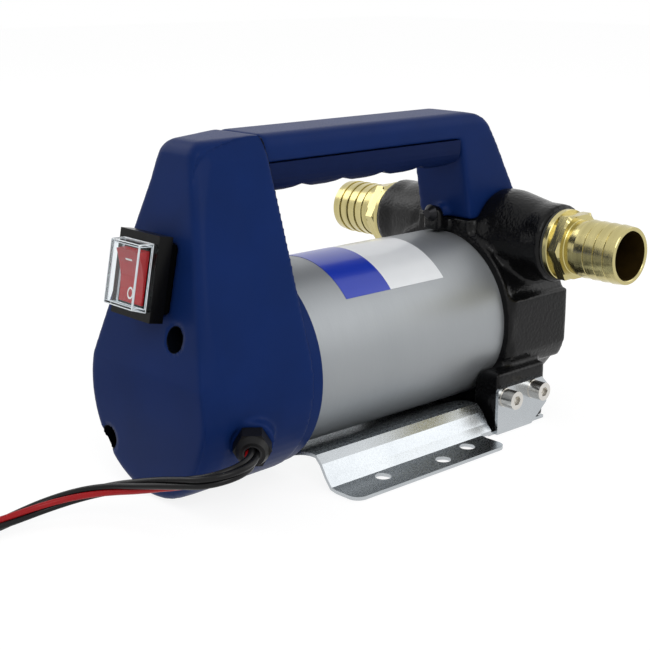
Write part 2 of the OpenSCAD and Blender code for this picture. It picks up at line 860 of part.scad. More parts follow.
module base_plate() color("gainsboro") difference() {
  union() {
    difference() {
      along_motor(-plate_front - plate_length, -pan_back + plate_t)
        polygon(concat(sheet_side(-1), backwards(sheet_side(1))));
      for (side = [-1, 1]) translate([-plate_front, side > 0 ? pan_half : -pan_half - plate_half, -over])
        cube([plate_length, plate_half, axis_height]);
      for (side = [-1, 1]) for (x = [-plate_front - plate_length, -plate_front])
        translate([x, side * plate_half, -over]) linear_extrude(height = 3 * plate_t) difference() {
          square(2 * plate_corner, center = true);
          translate([x < -plate_front - over ? plate_corner : -plate_corner, -side * plate_corner])
            circle(r = plate_corner);
        }
    }
    // closed end of the pressed rib
    along_motor(-pan_back, -pan_back + plate_t) intersection() {
      polygon(concat([[-plate_half, 0], [plate_half, 0]], backwards(sheet_side(1))));
      translate([-pan_half, 0]) square([2 * pan_half, axis_height]);
    }
    translate([-pan_back, -pan_half, 0]) cube([pan_front + pan_back, 2 * pan_half, plate_t]);
    // ears
    for (side = [-1, 1]) across_y(side > 0 ? foot_half : -foot_half - plate_t,
      side > 0 ? foot_half + plate_t : -foot_half)
      polygon([[-ear_back, 0], [pan_front - ear_cut, 0], [pan_front, ear_low],
        [pan_front, ear_high - ear_round],
        [pan_front - ear_round, ear_high], [ear_nick - ear_back, ear_high],
          [-ear_back, ear_high - ear_nick]]);
  }
  for (side = [-1, 1]) {
    for (x = [-hole_front, -hole_front - hole_pitch]) translate([x, side * hole_span / 2, -over])
      cylinder(h = plate_t + 2 * over, d = hole_d);
    translate([-hole_mid, side * hole_span_mid / 2, -over]) cylinder(h = plate_t + 2 * over, d = hole_d);
  }
  ear_places() translate([0, 0, -plate_t - over]) cylinder(h = plate_t + 2 * over, d = ear_hole_d);
}

module ear_screws() color("silver") ear_places() {
  out = plate_t + flat_washer_t + spring_washer_t;
  translate([0, 0, -out]) cylinder(h = out + ear_screw_length - ear_screw_short, d = ear_screw_d);
  translate([0, 0, -out - ear_head_h]) difference() {
    cylinder(h = ear_head_h, d = ear_head_d);
    translate([0, 0, -over]) cylinder(h = key_depth + over, d = hex_key / cos(30), $fn = 6);
  }
}

module ear_washers() color("silver") ear_places() {
  translate([0, 0, -plate_t - flat_washer_t]) difference() {
    cylinder(h = flat_washer_t, d = flat_washer_d);
    translate([0, 0, -over]) cylinder(h = flat_washer_t + 2 * over, d = ear_screw_d);
  }
  translate([0, 0, -plate_t - flat_washer_t - spring_washer_t]) difference() {
    cylinder(h = spring_washer_t, d = ear_head_d);
    translate([0, 0, -over]) cylinder(h = spring_washer_t + 2 * over, d = ear_screw_d);
    translate([0, -spring_washer_gap / 2, -over])
      cube([ear_head_d, spring_washer_gap, spring_washer_t + 2 * over]);
  }
}

// Handle

handle_rear = front_x + handle_gap;

module side_outline() polygon(concat(
  [[handle_rear, seam_z], [handle_rear, handle_top]],
  [for (p = post_nose) [p[0], handle_top - p[1]]],
  [[post_front, post_front_z], [post_front, rest_z], [post_back_low, rest_z],
    [-post_back_top, post_back_z], [-grip_front, seam_z]]));

module bar_section(low) translate([0, (handle_top + low) / 2]) {
  h = handle_top - low;
  corner = [for (k = [0 : 6]) [handle_w / 2 - top_round, h / 2 - top_round]
    + top_round * [cos(15 * k), sin(15 * k)]];
  polygon(concat(
    corner,
    [for (k = [6 : -1 : 0]) [-corner[k][0], corner[k][1]]],
    [[-handle_w / 2, -h / 2], [handle_w / 2, -h / 2]]));
}

module handle_shell() color("#1f3a78") difference() {
  union() {
    intersection() {
      across_y(-handle_w / 2, handle_w / 2) side_outline();
      along_motor(handle_rear - over, post_front + over) bar_section(rest_z - over);
    }
    difference() {
      round_bar(-lug_front + seat, post_step, post_boss_d / 2, z = lug_screw_z + fit);
      translate([-lug_back, -lug_r, lug_low])
        cube([lug_back + post_step + over, 2 * lug_r, rest_z - lug_low]);
    }
  }
  // hollow of the bar above the grip
  across_y(-handle_w / 2 + handle_wall, handle_w / 2 - handle_wall)
    translate([handle_rear + rear_boss, seam_z - over])
    square([-handle_rear - rear_boss - grip_front - handle_wall, handle_top - seam_z - handle_wall + over]);
  // hollow of the post
  across_y(-handle_w / 2 + handle_wall, handle_w / 2 - handle_wall) polygon([
    [post_back_low + lug_screw_reach + handle_wall, rest_z - over],
      [2 * handle_wall - post_back_top, post_back_z],
    [post_nose[3][0] - 2 * handle_wall, handle_top - post_nose[3][1] - 2 * handle_wall],
    [post_front - 2 * handle_wall, post_front_z - 2 * handle_wall],
      [post_front - 2 * handle_wall, rest_z - over]]);
  round_bar(handle_rear - over, handle_rear + rear_screw_reach, rear_screw_d / 2, z = rear_screw_z);
  round_bar(-lug_back, lug_screw_reach, lug_screw_d / 2, z = lug_screw_z);
}

lobe_pitch = (-grip_front - handle_rear) / lobes;
lobe_r = lobe_pitch * lobe_pitch / 8 / lobe_sag + lobe_sag / 2;

module handle_grip() color("#1c3468") intersection() {
  across_y(-handle_w / 2, handle_w / 2) {
    translate([handle_rear, grip_low + lobe_sag])
      square([-grip_front - handle_rear, seam_z - grip_low - lobe_sag]);
    for (i = [0 : lobes - 1]) intersection() {
      translate([handle_rear + (i + 0.5) * lobe_pitch, grip_low + lobe_r]) circle(r = lobe_r);
      translate([handle_rear + i * lobe_pitch, grip_low]) square([lobe_pitch, lobe_sag + over]);
    }
  }
  along_motor(handle_rear - over, 0) polygon(concat(
    [[handle_w / 2, seam_z + over], [-handle_w / 2, seam_z + over]],
    [for (k = [0 : 6]) [-handle_w / 2 + grip_round, grip_low + grip_round]
      + grip_round * [cos(180 + 15 * k), sin(180 + 15 * k)]],
    [for (k = [0 : 6]) [handle_w / 2 - grip_round, grip_low + grip_round]
      + grip_round * [cos(270 + 15 * k), sin(270 + 15 * k)]]));
}

module handle_screws() color("#202020") {
  round_bar(-lug_back, lug_screw_reach, lug_screw_d / 2, z = lug_screw_z);
  along_x(-lug_back - lug_head_h, lug_screw_z)
    cylinder(h = lug_head_h, d1 = lug_head_d / 2, d2 = lug_head_d);
  round_bar(front_x - cover_plate_t, handle_rear + rear_screw_reach, rear_screw_d / 2, z = rear_screw_z);
  round_bar(front_x - cover_plate_t - lug_head_h, front_x - cover_plate_t, lug_head_d / 2,
    z = rear_screw_z);
}

// Rear cover

// Rear face: upright below, leaning forward in a long arc above
function rear_at(z) = rear_x + (z > bend_z ? (z - bend_z) * (z - bend_z) / bend_r / 2 : 0);

// Outline of the cover: a round bottom with straight sides to two rounded top corners
function cover_outline(r, cz, half, top, rc) = let (
    d = [half - rc, top - rc - cz],
    n = atan2(d[1], d[0]) - acos((r - rc) / norm(d)),
    right = concat(
      [for (k = [0 : corner_steps]) let (a = 90 + (n - 90) * k / corner_steps) [half - rc, top - rc]
        + rc * [cos(a), sin(a)]],
      [for (k = [0 : arc_steps / 2]) let (a = n + (-90 - n) * k / (arc_steps / 2)) [0, cz]
        + r * [cos(a), sin(a)]])
  ) concat(right, [for (i = [len(right) - 2 : -1 : 0]) [-right[i][0], right[i][1]]]);

function blend(a, b, t) = a + (b - a) * t;

// Ring of the cover: t runs from the front to the rear, inset pulls it in
function cover_ring_points(t, inset, setback) = let (
    o = cover_outline(
      blend(cover_front_r, cover_rear_r + cover_round, t) - inset,
      blend(axis_height, cover_rear_z, t),
      blend(cover_top_half, cover_rear_top_half, t) - inset,
      blend(handle_top, handle_top - cover_top_drop, t) - inset,
      max(cover_top_round - inset, cover_top_round / 6))
  ) [for (p = o) [blend(front_x, rear_at(p[1]) + setback, t), p[0], p[1]]];

module cover_body(wall, ahead) {
  r = cover_round;
  rings = concat(
    [[for (p = cover_ring_points(0, wall, 0)) p + [ahead, 0, 0]]],
    [cover_ring_points(0.5, wall, r + wall)],
    [cover_ring_points(1, wall, r + wall)],
    [for (a = [30, 60, 90]) cover_ring_points(1, wall + r * (1 - cos(a)), wall + r * (1 - sin(a)))]);
  n = len(rings[0]);
  m = len(rings);
  pts = [for (q = rings) each q];
  walls = [for (i = [0 : m - 2]) for (k = [0 : n - 1]) let (a = i * n + k, b = i * n + (k + 1) % n)
    each [[a, a + n, b], [b, a + n, b + n]]];
  half = (n - 1) / 2;
  // the closing faces run straight across, from one side to the other
  front = [for (k = [0 : half - 1]) each [[k, k + 1, n - 1 - k], [k + 1, n - 2 - k, n - 1 - k]]];
  o = (m - 1) * n;
  rear = [for (k = [0 : half - 1])
    each [[o + k, o + n - 1 - k, o + k + 1], [o + k + 1, o + n - 1 - k, o + n - 2 - k]]];
  polyhedron(pts, [for (f = concat(walls, front, rear)) if (f[0] != f[1] && f[1] != f[2] && f[0] != f[2])
    f]);
}

module switch_frame_place() translate([rear_at(switch_z) + switch_sink, 0, switch_z])
  rotate([0, switch_lean - 90, 0]) children();

module cover_screw_places() for (p = cover_screw_spots)
  translate([0, p[0], p[1] - axis_height]) children();

module rear_cover() color("#1f3a78") difference() {
  union() {
    cover_body(0, 0);
    gland_boss();
  }
  difference() {
    cover_body(cover_wall, over);
    cover_screw_places() round_bar(rear_x - over, bell_x - bell_t, recess_d / 2 + recess_wall);
    gland_boss();
  }
  cover_screw_places() {
    round_bar(rear_x - over, bell_x - bell_t - recess_seat, recess_d / 2);
    round_bar(rear_x, bell_x, cover_screw_d / 2 + fit);
  }
  switch_frame_place() {
    linear_extrude(height = 2 * switch_t) square([switch_h, switch_w], center = true);
    translate([0, 0, -switch_box_depth]) linear_extrude(height = switch_box_depth + over)
      square([switch_box_h + seat, switch_box_w + seat], center = true);
  }
  gland_place() translate([0, 0, -gland_inner]) cylinder(h = 2 * gland_inner, d = gland_thread_d + fit);
  gland_place() cylinder(h = gland_inner, d = gland_boss_d + 2 * fit);
}

module cover_ring() color("#1f3a78") difference() {
  union() {
    intersection() {
      cover_body(cover_wall + fit, over);
      translate([bell_x, -tube_od, 0]) cube([front_x - bell_x, 2 * tube_od, 2 * handle_top]);
    }
    round_bar(front_x, front_x + ring_length, ring_r);
  }
  round_bar(bell_x - over, 0, tube_r + fit);
  round_bar(bell_x - over, front_x + over, rear_screw_d / 2 + fit, z = rear_screw_z);
}

module cover_screws() color("silver") for (p = cover_screw_spots) {
  x = bell_x - bell_t - recess_seat;
  round_bar(x, bell_x - over, cover_screw_d / 2, z = p[1], y = p[0]);
  difference() {
    round_bar(x - cover_screw_head_h, x, cover_screw_head_d / 2, z = p[1], y = p[0]);
    translate([x - cover_screw_head_h - over, p[0], p[1]]) for (a = [0, 90]) rotate([a, 0, 0])
      translate([0, -cover_screw_d / 2, -cover_screw_head_h / 6])
        cube([over + cover_screw_head_h / 2, cover_screw_d, cover_screw_head_h / 3]);
  }
}

// Switch

module switch_frame() color("#151515") switch_frame_place() difference() {
  union() {
    linear_extrude(height = switch_t) square([switch_h, switch_w], center = true);
    translate([0, 0, -switch_box_depth]) linear_extrude(height = switch_box_depth + over)
      square([switch_box_h, switch_box_w], center = true);
  }
  translate([0, 0, -switch_box_depth + switch_box_wall])
    linear_extrude(height = switch_box_depth + switch_t + over)
    square([switch_window_h, switch_window_w], center = true);
  translate([0, 0, switch_t - rocker_axis]) rotate([90, 0, 0])
    translate([0, 0, -switch_window_w / 2 - switch_box_wall])
    cylinder(h = switch_window_w + 2 * switch_box_wall, d = rocker_pin_d + fit);
  for (x = [-1, 1]) for (y = [-1, 1]) translate([x * tab_w, y * tab_y, -switch_box_depth - over])
    linear_extrude(height = 2 * switch_box_depth / 3) square([tab_w, tab_t], center = true);
}

module switch_rocker() color("#c01820") switch_frame_place() translate([0, 0, switch_t - rocker_axis]) {
  rotate([90, 0, 0]) translate([0, 0, -switch_window_w / 2 - switch_box_wall + fit])
    cylinder(h = switch_window_w + 2 * switch_box_wall - 2 * fit, d = rocker_pin_d);
  rotate([0, -rocker_lean, 0]) rotate([90, 0, 0]) translate([0, 0, -rocker_half])
    linear_extrude(height = 2 * rocker_half)
    polygon(concat([[-rocker_reach, 0]],
      [for (q = rocker_dish_shares) [-q[0] * rocker_reach, q[1] * rocker_rise]],
      [for (i = [1, 0]) [rocker_dish_shares[i][0] * rocker_reach, rocker_dish_shares[i][1] * rocker_rise]],
      [[rocker_reach, 0], [rocker_foot / 2, -rocker_foot], [-rocker_foot / 2, -rocker_foot]]));
}

module switch_hood() color("lightcyan", 0.4) switch_frame_place() translate([0, 0, switch_t]) difference() {
  linear_extrude(height = hood_rise, scale = hood_draft_share) square([hood_h, hood_w], center = true);
  translate([0, 0, -hood_wall]) linear_extrude(height = hood_rise, scale = hood_draft_share)
    square([hood_h - 2 * hood_wall, hood_w - 2 * hood_wall], center = true);
}

module switch_tabs() color("goldenrod") switch_frame_place() for (x = [-1, 1]) for (y = [-1, 1])
  translate([x * tab_w, y * tab_y, -switch_box_depth - tab_length])
    linear_extrude(height = tab_length + switch_box_wall) square([tab_w, tab_t], center = true);

// Gland

module gland_place() translate([gland_x, gland_y, gland_z]) rotate([0, 0, -gland_turn])
  rotate([90 + gland_tilt, 0, 0])
  children();

module gland_boss() gland_place() translate([0, 0, -gland_boss_t])
  cylinder(h = gland_boss_t, d = gland_boss_d);

module gland_body() color("#181818") gland_place() difference() {
  union() {
    translate([0, 0, -gland_inner])
      cylinder(h = gland_inner + gland_base_t + gland_nut_t / 2, d = gland_thread_d);
    cylinder(h = gland_base_t, d = gland_across / cos(30), $fn = 6);
    translate([0, 0, -gland_boss_t - gland_lock_t])
      cylinder(h = gland_lock_t, d = gland_across / cos(30), $fn = 6);
  }
  translate([0, 0, -gland_inner - over]) cylinder(h = 3 * gland_inner + gland_nut_t, d = gland_bore);
}

module gland_nut() color("#141414") gland_place() translate([0, 0, gland_base_t]) difference() {
  union() {
    cylinder(h = gland_nut_t * gland_hex_share, d = gland_across / cos(30), $fn = 6);
    translate([0, 0, gland_nut_t * gland_hex_share])
      cylinder(h = gland_nut_t * (1 - gland_hex_share), d1 = gland_across,
        d2 = gland_across - gland_face_drop);
  }
  translate([0, 0, -over]) cylinder(h = gland_nut_t / 2 + over, d = gland_thread_d);
  translate([0, 0, -over]) cylinder(h = gland_nut_t + 2 * over, d = gland_bore + 2 * gland_seal_wall);
}

module gland_seal() color("#101010") gland_place() translate([0, 0, gland_base_t + gland_nut_t / 2])
  difference() {
  cylinder(h = gland_nut_t / 2 - gland_seal_wall, d = gland_bore + 2 * gland_seal_wall);
  translate([0, 0, -over]) cylinder(h = gland_nut_t, d = cable_d + 2 * fit);
}

// Leads

cable_route = [[-156, -47.8, 29.6], [-160.1, -52.7, 28.7], [-165.4, -56.3, 27.8], [-171.7, -57, 26.7],
  [-177.6, -54.7, 25.3], [-181.8, -49.8, 23.6], [-183.8, -43.7, 22], [-185.7, -37.6, 20.4],
    [-187.6, -31.5, 18.8],
  [-189.5, -25.3, 17], [-191.3, -19.2, 15.2], [-193.3, -13.1, 13.5], [-196.2, -7.3, 11.8],
    [-200.1, -2.2, 10.2],
  [-204.9, 2, 8.6], [-210.4, 5.3, 7], [-216.5, 7.5, 5.6], [-222.8, 8.5, 4.5], [-229.2, 8.6, 3.8],
    [-235.6, 8.6, 3.3],
  [-242.1, 8.6, 3.2], [-248.1, 10.7, 3.5], [-252.4, 15.4, 3.8], [-254, 21.6, 3.8], [-254, 28, 3.8]];
coil_x = -304.8;
coil_y = 34;
red_route = [[-255.5, 40.2, 10.4], [-255.5, 44, 10.4], [-252.5, 56, 8], [-255, 68, 4], [-261, 80, 2.5],
  [-264, 90, 2.5],
  [-264, 93, 2.5], [-264, 100, 2.5]];
black_route = [[-252.5, 40.2, 10.4], [-252.5, 44, 10.4], [-248, 56, 8], [-244, 68, 4], [-241, 80, 2.5],
  [-240, 90, 2.5],
  [-240, 93, 2.5], [-240, 100, 2.5]];

// The leads follow the gland: its height moves only the first points, because the rest lies on the floor
lead_shift = [gland_x - gland_home[0], gland_y - gland_home[1], 0];
lead_rise = gland_z - gland_home[2];
cable_path = [for (i = [0 : len(cable_route) - 1]) cable_route[i] + [0, 0, i < 3 ? lead_rise : 0]];

module cable() color("#161616") translate(lead_shift)
  tube_along(smooth_route(cable_path, 2), cable_d / 2, 8);

coil_outer = coil_inner + coil_pitch * coil_loops;

function coil_radius(t) = coil_inner + coil_pitch * abs(t);
function coil_height(t)
  = tie_t + cable_d / 2 + coil_lift * (t < -0.25 ? 0 : t > 0.25 ? 1 : (1 - cos(360 * (t + 0.25))) / 2);
coil_points = concat(
  [[coil_x + coil_outer, coil_y - cable_d, tie_t + cable_d / 2]],
  [for (i = [0 : 2 * coil_loops * coil_rings]) let (t = i / coil_rings - coil_loops, a = 360 * t)
    [coil_x + coil_radius(t) * cos(a), coil_y + coil_radius(t) * sin(a), coil_height(t)]],
  [[coil_x + coil_outer, coil_y + cable_d, tie_t + cable_d / 2 + coil_lift]]);
coil_gap = min([for (i = [0 : len(coil_points) - 1]) for (k = [i + coil_rings / 2 : len(coil_points) - 1])
  norm(coil_points[i] - coil_points[k])]) - cable_d;
echo(coil_gap = coil_gap);

module cable_coil() color("#161616") translate(lead_shift) tube_along(coil_points, cable_d / 2, coil_sides);

module cable_tie() color("#222222") translate([coil_x, coil_y, 0] + lead_shift) rotate(360 * tie_share) {
  r1 = coil_inner + coil_pitch * (1 - tie_share) - cable_d / 2 - tie_gap;
  r2 = coil_inner + coil_pitch * (coil_loops - 1 + tie_share) + cable_d / 2 + fit;
  h = coil_lift + cable_d + fit;
  translate([r1 - tie_t, -tie_w / 2, 0]) difference() {
    cube([r2 - r1 + 2 * tie_t, tie_w, h + 2 * tie_t]);
    translate([tie_t, -over, tie_t]) cube([r2 - r1, tie_w + 2 * over, h]);
  }
  translate([r2 - tie_lock, -tie_w / 2 - over, h + tie_t]) cube([tie_lock, tie_w + 2 * over, tie_lock]);
}

module lead_red() color("#b01818") translate(lead_shift)
  tube_along(smooth_route(red_route, 3), tail_d / 2, 8);
module lead_black() color("#181818") translate(lead_shift)
  tube_along(smooth_route(black_route, 3), tail_d / 2, 8);

// Battery clips

// Side views of the clip halves, along the clip and up, with the lead entering at zero
clip_lower_side = [[0, 0], [0, 6], [25, 10], [29, 16], [39, 16], [43, 10], [50, 9], [52, 7.4], [55, 8.6],
  [57, 7], [60, 8.2], [62, 6.6],
  [65, 7.8], [67, 6.2], [70, 7.4], [72, 5.8], [74, 6.4], [74, 3.4], [66, 0]];
clip_upper_side = [[0, 23.5], [0, 27.5], [2, 28.5], [30, 20], [42, 16.5], [66, 13], [72, 10], [74, 7.6],
  [74, 6.9], [71, 8.6],
  [68, 7.8], [66, 9.2], [63, 8.4], [61, 9.8], [58, 9], [56, 10.2], [53, 9.4], [51, 10.8], [42, 10.4],
    [38, 9], [30, 9], [26, 13]];
clip_lower_hollow = [[-2, 1], [65.8, 1], [76, 5], [76, 40], [-2, 40]];
clip_upper_hollow = [[-2, 27.6], [2, 27.4], [30, 18.9], [42, 15.4], [66, 11.9], [71.4, 9.2], [73, 7],
  [73, -9], [-2, -9]];
clip_pivot = [34, 12.5];
clip_places = [[-264, 90], [-240, 90]];

module clip_place(i) translate([clip_places[i][0], clip_places[i][1], 0] + lead_shift) children();

// Extrudes a side view of a clip to a given width
module clip_sheet_form(w) translate([-w / 2, 0, 0]) rotate([90, 0, 90]) linear_extrude(height = w)
  children();

module clip_pin_bar(w, d) translate([-w / 2, clip_pivot[0], clip_pivot[1]]) rotate([0, 90, 0])
  cylinder(h = w, d = d);

module clip_lower(i) clip_place(i) difference() {
  union() {
    difference() {
      clip_sheet_form(clip_w) polygon(clip_lower_side);
      clip_sheet_form(clip_w - 2 * clip_sheet) polygon(clip_lower_hollow);
    }
    translate([0, crimp_start, crimp_d / 2]) rotate([-90, 0, 0]) cylinder(h = crimp_length, d = crimp_d);
  }
  clip_pin_bar(2 * clip_w, clip_pin_d);
  translate([0, crimp_start - over, crimp_d / 2]) rotate([-90, 0, 0])
    cylinder(h = crimp_length + 2 * over, d = tail_d);
}

module clip_upper(i) clip_place(i) {
  w = clip_w - 2 * clip_sheet - 2 * seat;
  difference() {
    clip_sheet_form(w) polygon(clip_upper_side);
    clip_sheet_form(w - 2 * clip_sheet) polygon(clip_upper_hollow);
    clip_pin_bar(2 * clip_w, clip_pin_d + fit);
  }
}

module clip_red_lower() color("#b01818") clip_lower(0);
module clip_red_upper() color("#b01818") clip_upper(0);
module clip_black_lower() color("#1a1a1a") clip_lower(1);
module clip_black_upper() color("#1a1a1a") clip_upper(1);

module clip_pins() color("silver") for (i = [0, 1]) clip_place(i) {
  clip_pin_bar(clip_w, clip_pin_d);
  for (side = [-1, 1]) translate([side * (clip_w + clip_rivet) / 2, 0, 0])
    clip_pin_bar(clip_rivet, clip_rivet_d);
}

// Torsion spring round the pin, with a leg along each handle
clip_coil_r = clip_pin_d / 2 + fit + clip_wire / 2;
clip_turns = 3.5;
clip_steps = 12;
clip_spring_points = concat(
  [[-clip_spring_half, clip_leg_low[0], clip_leg_low[1]]],
  [for (k = [0 : clip_steps * clip_turns]) let (a = 360 * k / clip_steps - 90)
    [clip_spring_half * (2 * k / (clip_steps * clip_turns) - 1), clip_pivot[0] + clip_coil_r * cos(a),
      clip_pivot[1] + clip_coil_r * sin(a)]],
  [[clip_spring_half, clip_leg_high[0], clip_leg_high[1]]]);

module clip_spring(i) color("silver") clip_place(i)
  tube_along(clip_spring_points, clip_wire / 2, 6, up = [1, 0, 0]);

module clip_spring_red() clip_spring(0);
module clip_spring_black() clip_spring(1);

motor_tube();
label();
magnets();
end_bell();
rear_bearing();
front_bearing();
brush_card();
brushes();
armature_shaft();
armature_core();
armature_winding();
commutator();
through_bolts();
pump_head();
shaft_seal();
pump_rotor();
drive_key();
vane_1();
vane_2();
vane_3();
vane_4();
vane_5();
front_lid();
lid_seal();
lid_screws();
relief_poppet();
relief_spring();
relief_plug();
inlet_tail();
outlet_tail();
port_gaskets();
inlet_strainer();
base_plate();
ear_screws();
ear_washers();
handle_shell();
handle_grip();
handle_screws();
rear_cover();
cover_ring();
cover_screws();
switch_frame();
switch_rocker();
switch_hood();
switch_tabs();
gland_body();
gland_nut();
gland_seal();
cable();
cable_coil();
cable_tie();
lead_red();
lead_black();
clip_red_lower();
clip_red_upper();
clip_black_lower();
clip_black_upper();
clip_pins();
clip_spring_red();
clip_spring_black();
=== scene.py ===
import math

import bmesh
import bpy
from mathutils import Matrix, Vector


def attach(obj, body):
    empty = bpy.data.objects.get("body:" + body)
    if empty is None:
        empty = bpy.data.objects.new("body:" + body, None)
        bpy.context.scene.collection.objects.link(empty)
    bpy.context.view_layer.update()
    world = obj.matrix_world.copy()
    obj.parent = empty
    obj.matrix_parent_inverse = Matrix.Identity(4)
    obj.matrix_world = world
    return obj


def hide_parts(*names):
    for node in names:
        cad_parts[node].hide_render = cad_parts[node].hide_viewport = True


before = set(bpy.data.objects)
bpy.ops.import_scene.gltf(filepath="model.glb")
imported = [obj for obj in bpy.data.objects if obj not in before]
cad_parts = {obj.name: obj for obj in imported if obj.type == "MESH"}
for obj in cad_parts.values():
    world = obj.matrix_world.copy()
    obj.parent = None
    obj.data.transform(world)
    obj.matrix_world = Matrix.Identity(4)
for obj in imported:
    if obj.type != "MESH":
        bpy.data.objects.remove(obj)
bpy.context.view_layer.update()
# millimetres in a metre
perMetre = 1000

# the photograph's camera, in metres and millimetres of lens
view = {
    "place": (-0.45360, -0.41411, 0.20553),
    "target": (-0.126355, -0.056345, 0.074651),
    "lens": 72.895,
    "sensor": 36.0,
    "near": 0.01,
}


def makeCamera():
    data = bpy.data.cameras.new("photoCamera")
    data.lens = view["lens"]
    data.sensor_width = view["sensor"]
    data.clip_start = view["near"]
    camera = bpy.data.objects.new("photoCamera", data)
    bpy.context.scene.collection.objects.link(camera)
    place = Vector(view["place"])
    camera.location = place
    camera.rotation_euler = (Vector(view["target"]) - place).to_track_quat("-Z", "Y").to_euler()
    bpy.context.scene.camera = camera


makeCamera()
print("camera stands")


def smoothRoute(route, steps):
    # the same smooth curve through the points as the part's source draws
    points = [Vector(p) for p in route]
    result = []
    for i in range(len(points) - 1):
        a, b = points[max(i - 1, 0)], points[i]
        c, d = points[i + 1], points[min(i + 2, len(points) - 1)]
        for k in range(steps):
            t = k / steps
            square = (2 * a - 5 * b + 4 * c - d) * t ** 2
            cube = (3 * b - a - 3 * c + d) * t ** 3
            result.append((2 * b + (c - a) * t + square + cube) / 2)
    return result + [points[-1]]


def pathFrames(points):
    # a direction and two sideways axes at each point, carried along without a twist
    axes = []
    side = None
    for i, p in enumerate(points):
        along = (points[min(i + 1, len(points) - 1)] - points[max(i - 1, 0)]).normalized()
        if side is None:
            side = along.cross(Vector((0, 0, 1))).normalized()
        side = (side - along * side.dot(along)).normalized()
        axes.append((along, side, along.cross(side)))
    return axes


def circle(sides):
    return [2 * math.pi * k / sides for k in range(sides)]


def joinRings(mesh, one, two):
    # the faces between two rings of points
    faces = []
    for k in range(len(one)):
        n = (k + 1) % len(one)
        faces.append(mesh.faces.new((one[k], one[n], two[n], two[k])))
    return faces


def sweepCore(mesh, points, axes, radius, sides, material, offset=0.0, turn=0.0, twist=0.0):
    # one insulated core; offset and twist wind it round the middle line of the bundle
    rings = []
    travelled = 0.0
    for i, p in enumerate(points):
        if i:
            travelled += (p - points[i - 1]).length
        u, v = axes[i][1:]
        angle = turn + twist * travelled
        middle = p + offset * (math.cos(angle) * u + math.sin(angle) * v)
        rings.append([mesh.verts.new(middle + radius * (math.cos(a) * u + math.sin(a) * v))
                      for a in circle(sides)])
    for one, two in zip(rings, rings[1:]):
        for face in joinRings(mesh, one, two):
            face.smooth = True
            face.material_index = material
    for ring in (rings[0][::-1], rings[-1]):
        mesh.faces.new(ring).material_index = material


def addPiece(name, mesh, body, finishes):
    data = bpy.data.meshes.new(name)
    bmesh.ops.recalc_face_normals(mesh, faces=mesh.faces[:])
    mesh.to_mesh(data)
    mesh.free()
    piece = bpy.data.objects.new(name, data)
    bpy.context.scene.collection.objects.link(piece)
    for finish in finishes:
        data.materials.append(finish)
    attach(piece, body)
    return piece


def linear(text):
    # sRGB hex to the linear values that the shader takes, fully opaque
    part = [int(text[i:i + 2], 16) / 255 for i in (0, 2, 4)]
    return tuple(c / 12.92 if c <= 0.04045 else ((c + 0.055) / 1.055) ** 2.4 for c in part) + (1.0,)


def startMaterial(name):
    material = bpy.data.materials.new(name)
    material.use_nodes = True
    material.node_tree.nodes.clear()
    return material


def addNode(material, kind, settings=None, links=None):
    # a node with its own values in settings, and links of socket name to (node, output)
    tree = material.node_tree
    node = tree.nodes.new(kind)
    for key, value in (settings or {}).items():
        if isinstance(key, str) and hasattr(node, key):
            setattr(node, key, value)
        else:
            node.inputs[key].default_value = value
    for key, (source, output) in (links or {}).items():
        tree.links.new(source.outputs[output], node.inputs[key])
    return node


def mixTones(material, first, second, share):
    # two sRGB colours, mixed by what another node gives
    return addNode(material, "ShaderNodeMix",
                   {"data_type": "RGBA", 6: linear(first), 7: linear(second)}, {0: share})


def showSurface(material, shader):
    addNode(material, "ShaderNodeOutputMaterial", {}, {"Surface": (shader, 0)})


# what every finish shares: the noise of the grain and of the patches, and the part of it that turns to gloss
grainNoise = {"roughness": 0.55, "detail": 3.0, "low": 0.3, "high": 0.7, "patchDetail": 2.0,
              "strength": 0.5, "coatRough": 0.1}


def makeFinish(name, look):
    material = startMaterial(name)
    place = addNode(material, "ShaderNodeTexCoord")
    spread = addNode(material, "ShaderNodeMapping", {"Scale": look.get("stretch", (1, 1, 1))},
                     {"Vector": (place, "Object")})
    fine = addNode(material, "ShaderNodeTexNoise",
                   {"Scale": perMetre / look["grain"], "Detail": look.get("detail", grainNoise["detail"]),
                    "Roughness": grainNoise["roughness"]},
                   {"Vector": (spread, 0)})
    broad = addNode(material, "ShaderNodeTexNoise",
                    {"Scale": perMetre / look["patch"], "Detail": grainNoise["patchDetail"]},
                    {"Vector": (spread, 0)})
    tone = mixTones(material, look["colour"], look["shade"], (broad, 0))
    gloss = addNode(material, "ShaderNodeMapRange",
                    {"From Min": grainNoise["low"], "From Max": grainNoise["high"],
                     "To Min": look["rough"][0], "To Max": look["rough"][1]},
                    {"Value": (fine, 0)})
    bump = addNode(material, "ShaderNodeBump",
                   {"Strength": look.get("strength", grainNoise["strength"]),
                    "Distance": look["height"] / perMetre},
                   {"Height": (fine, 0)})
    shader = addNode(material, "ShaderNodeBsdfPrincipled",
                     {"Metallic": look.get("metallic", 0.0), "Coat Weight": look.get("coat", 0.0),
                      "Coat Roughness": grainNoise["coatRough"]},
                     {"Base Color": (tone, 2), "Roughness": (gloss, 0), "Normal": (bump, 0)})
    for key, socket in (("ior", "IOR"), ("specular", "Specular IOR Level")):
        if key in look:
            shader.inputs[socket].default_value = look[key]
    showSurface(material, shader)
    return material


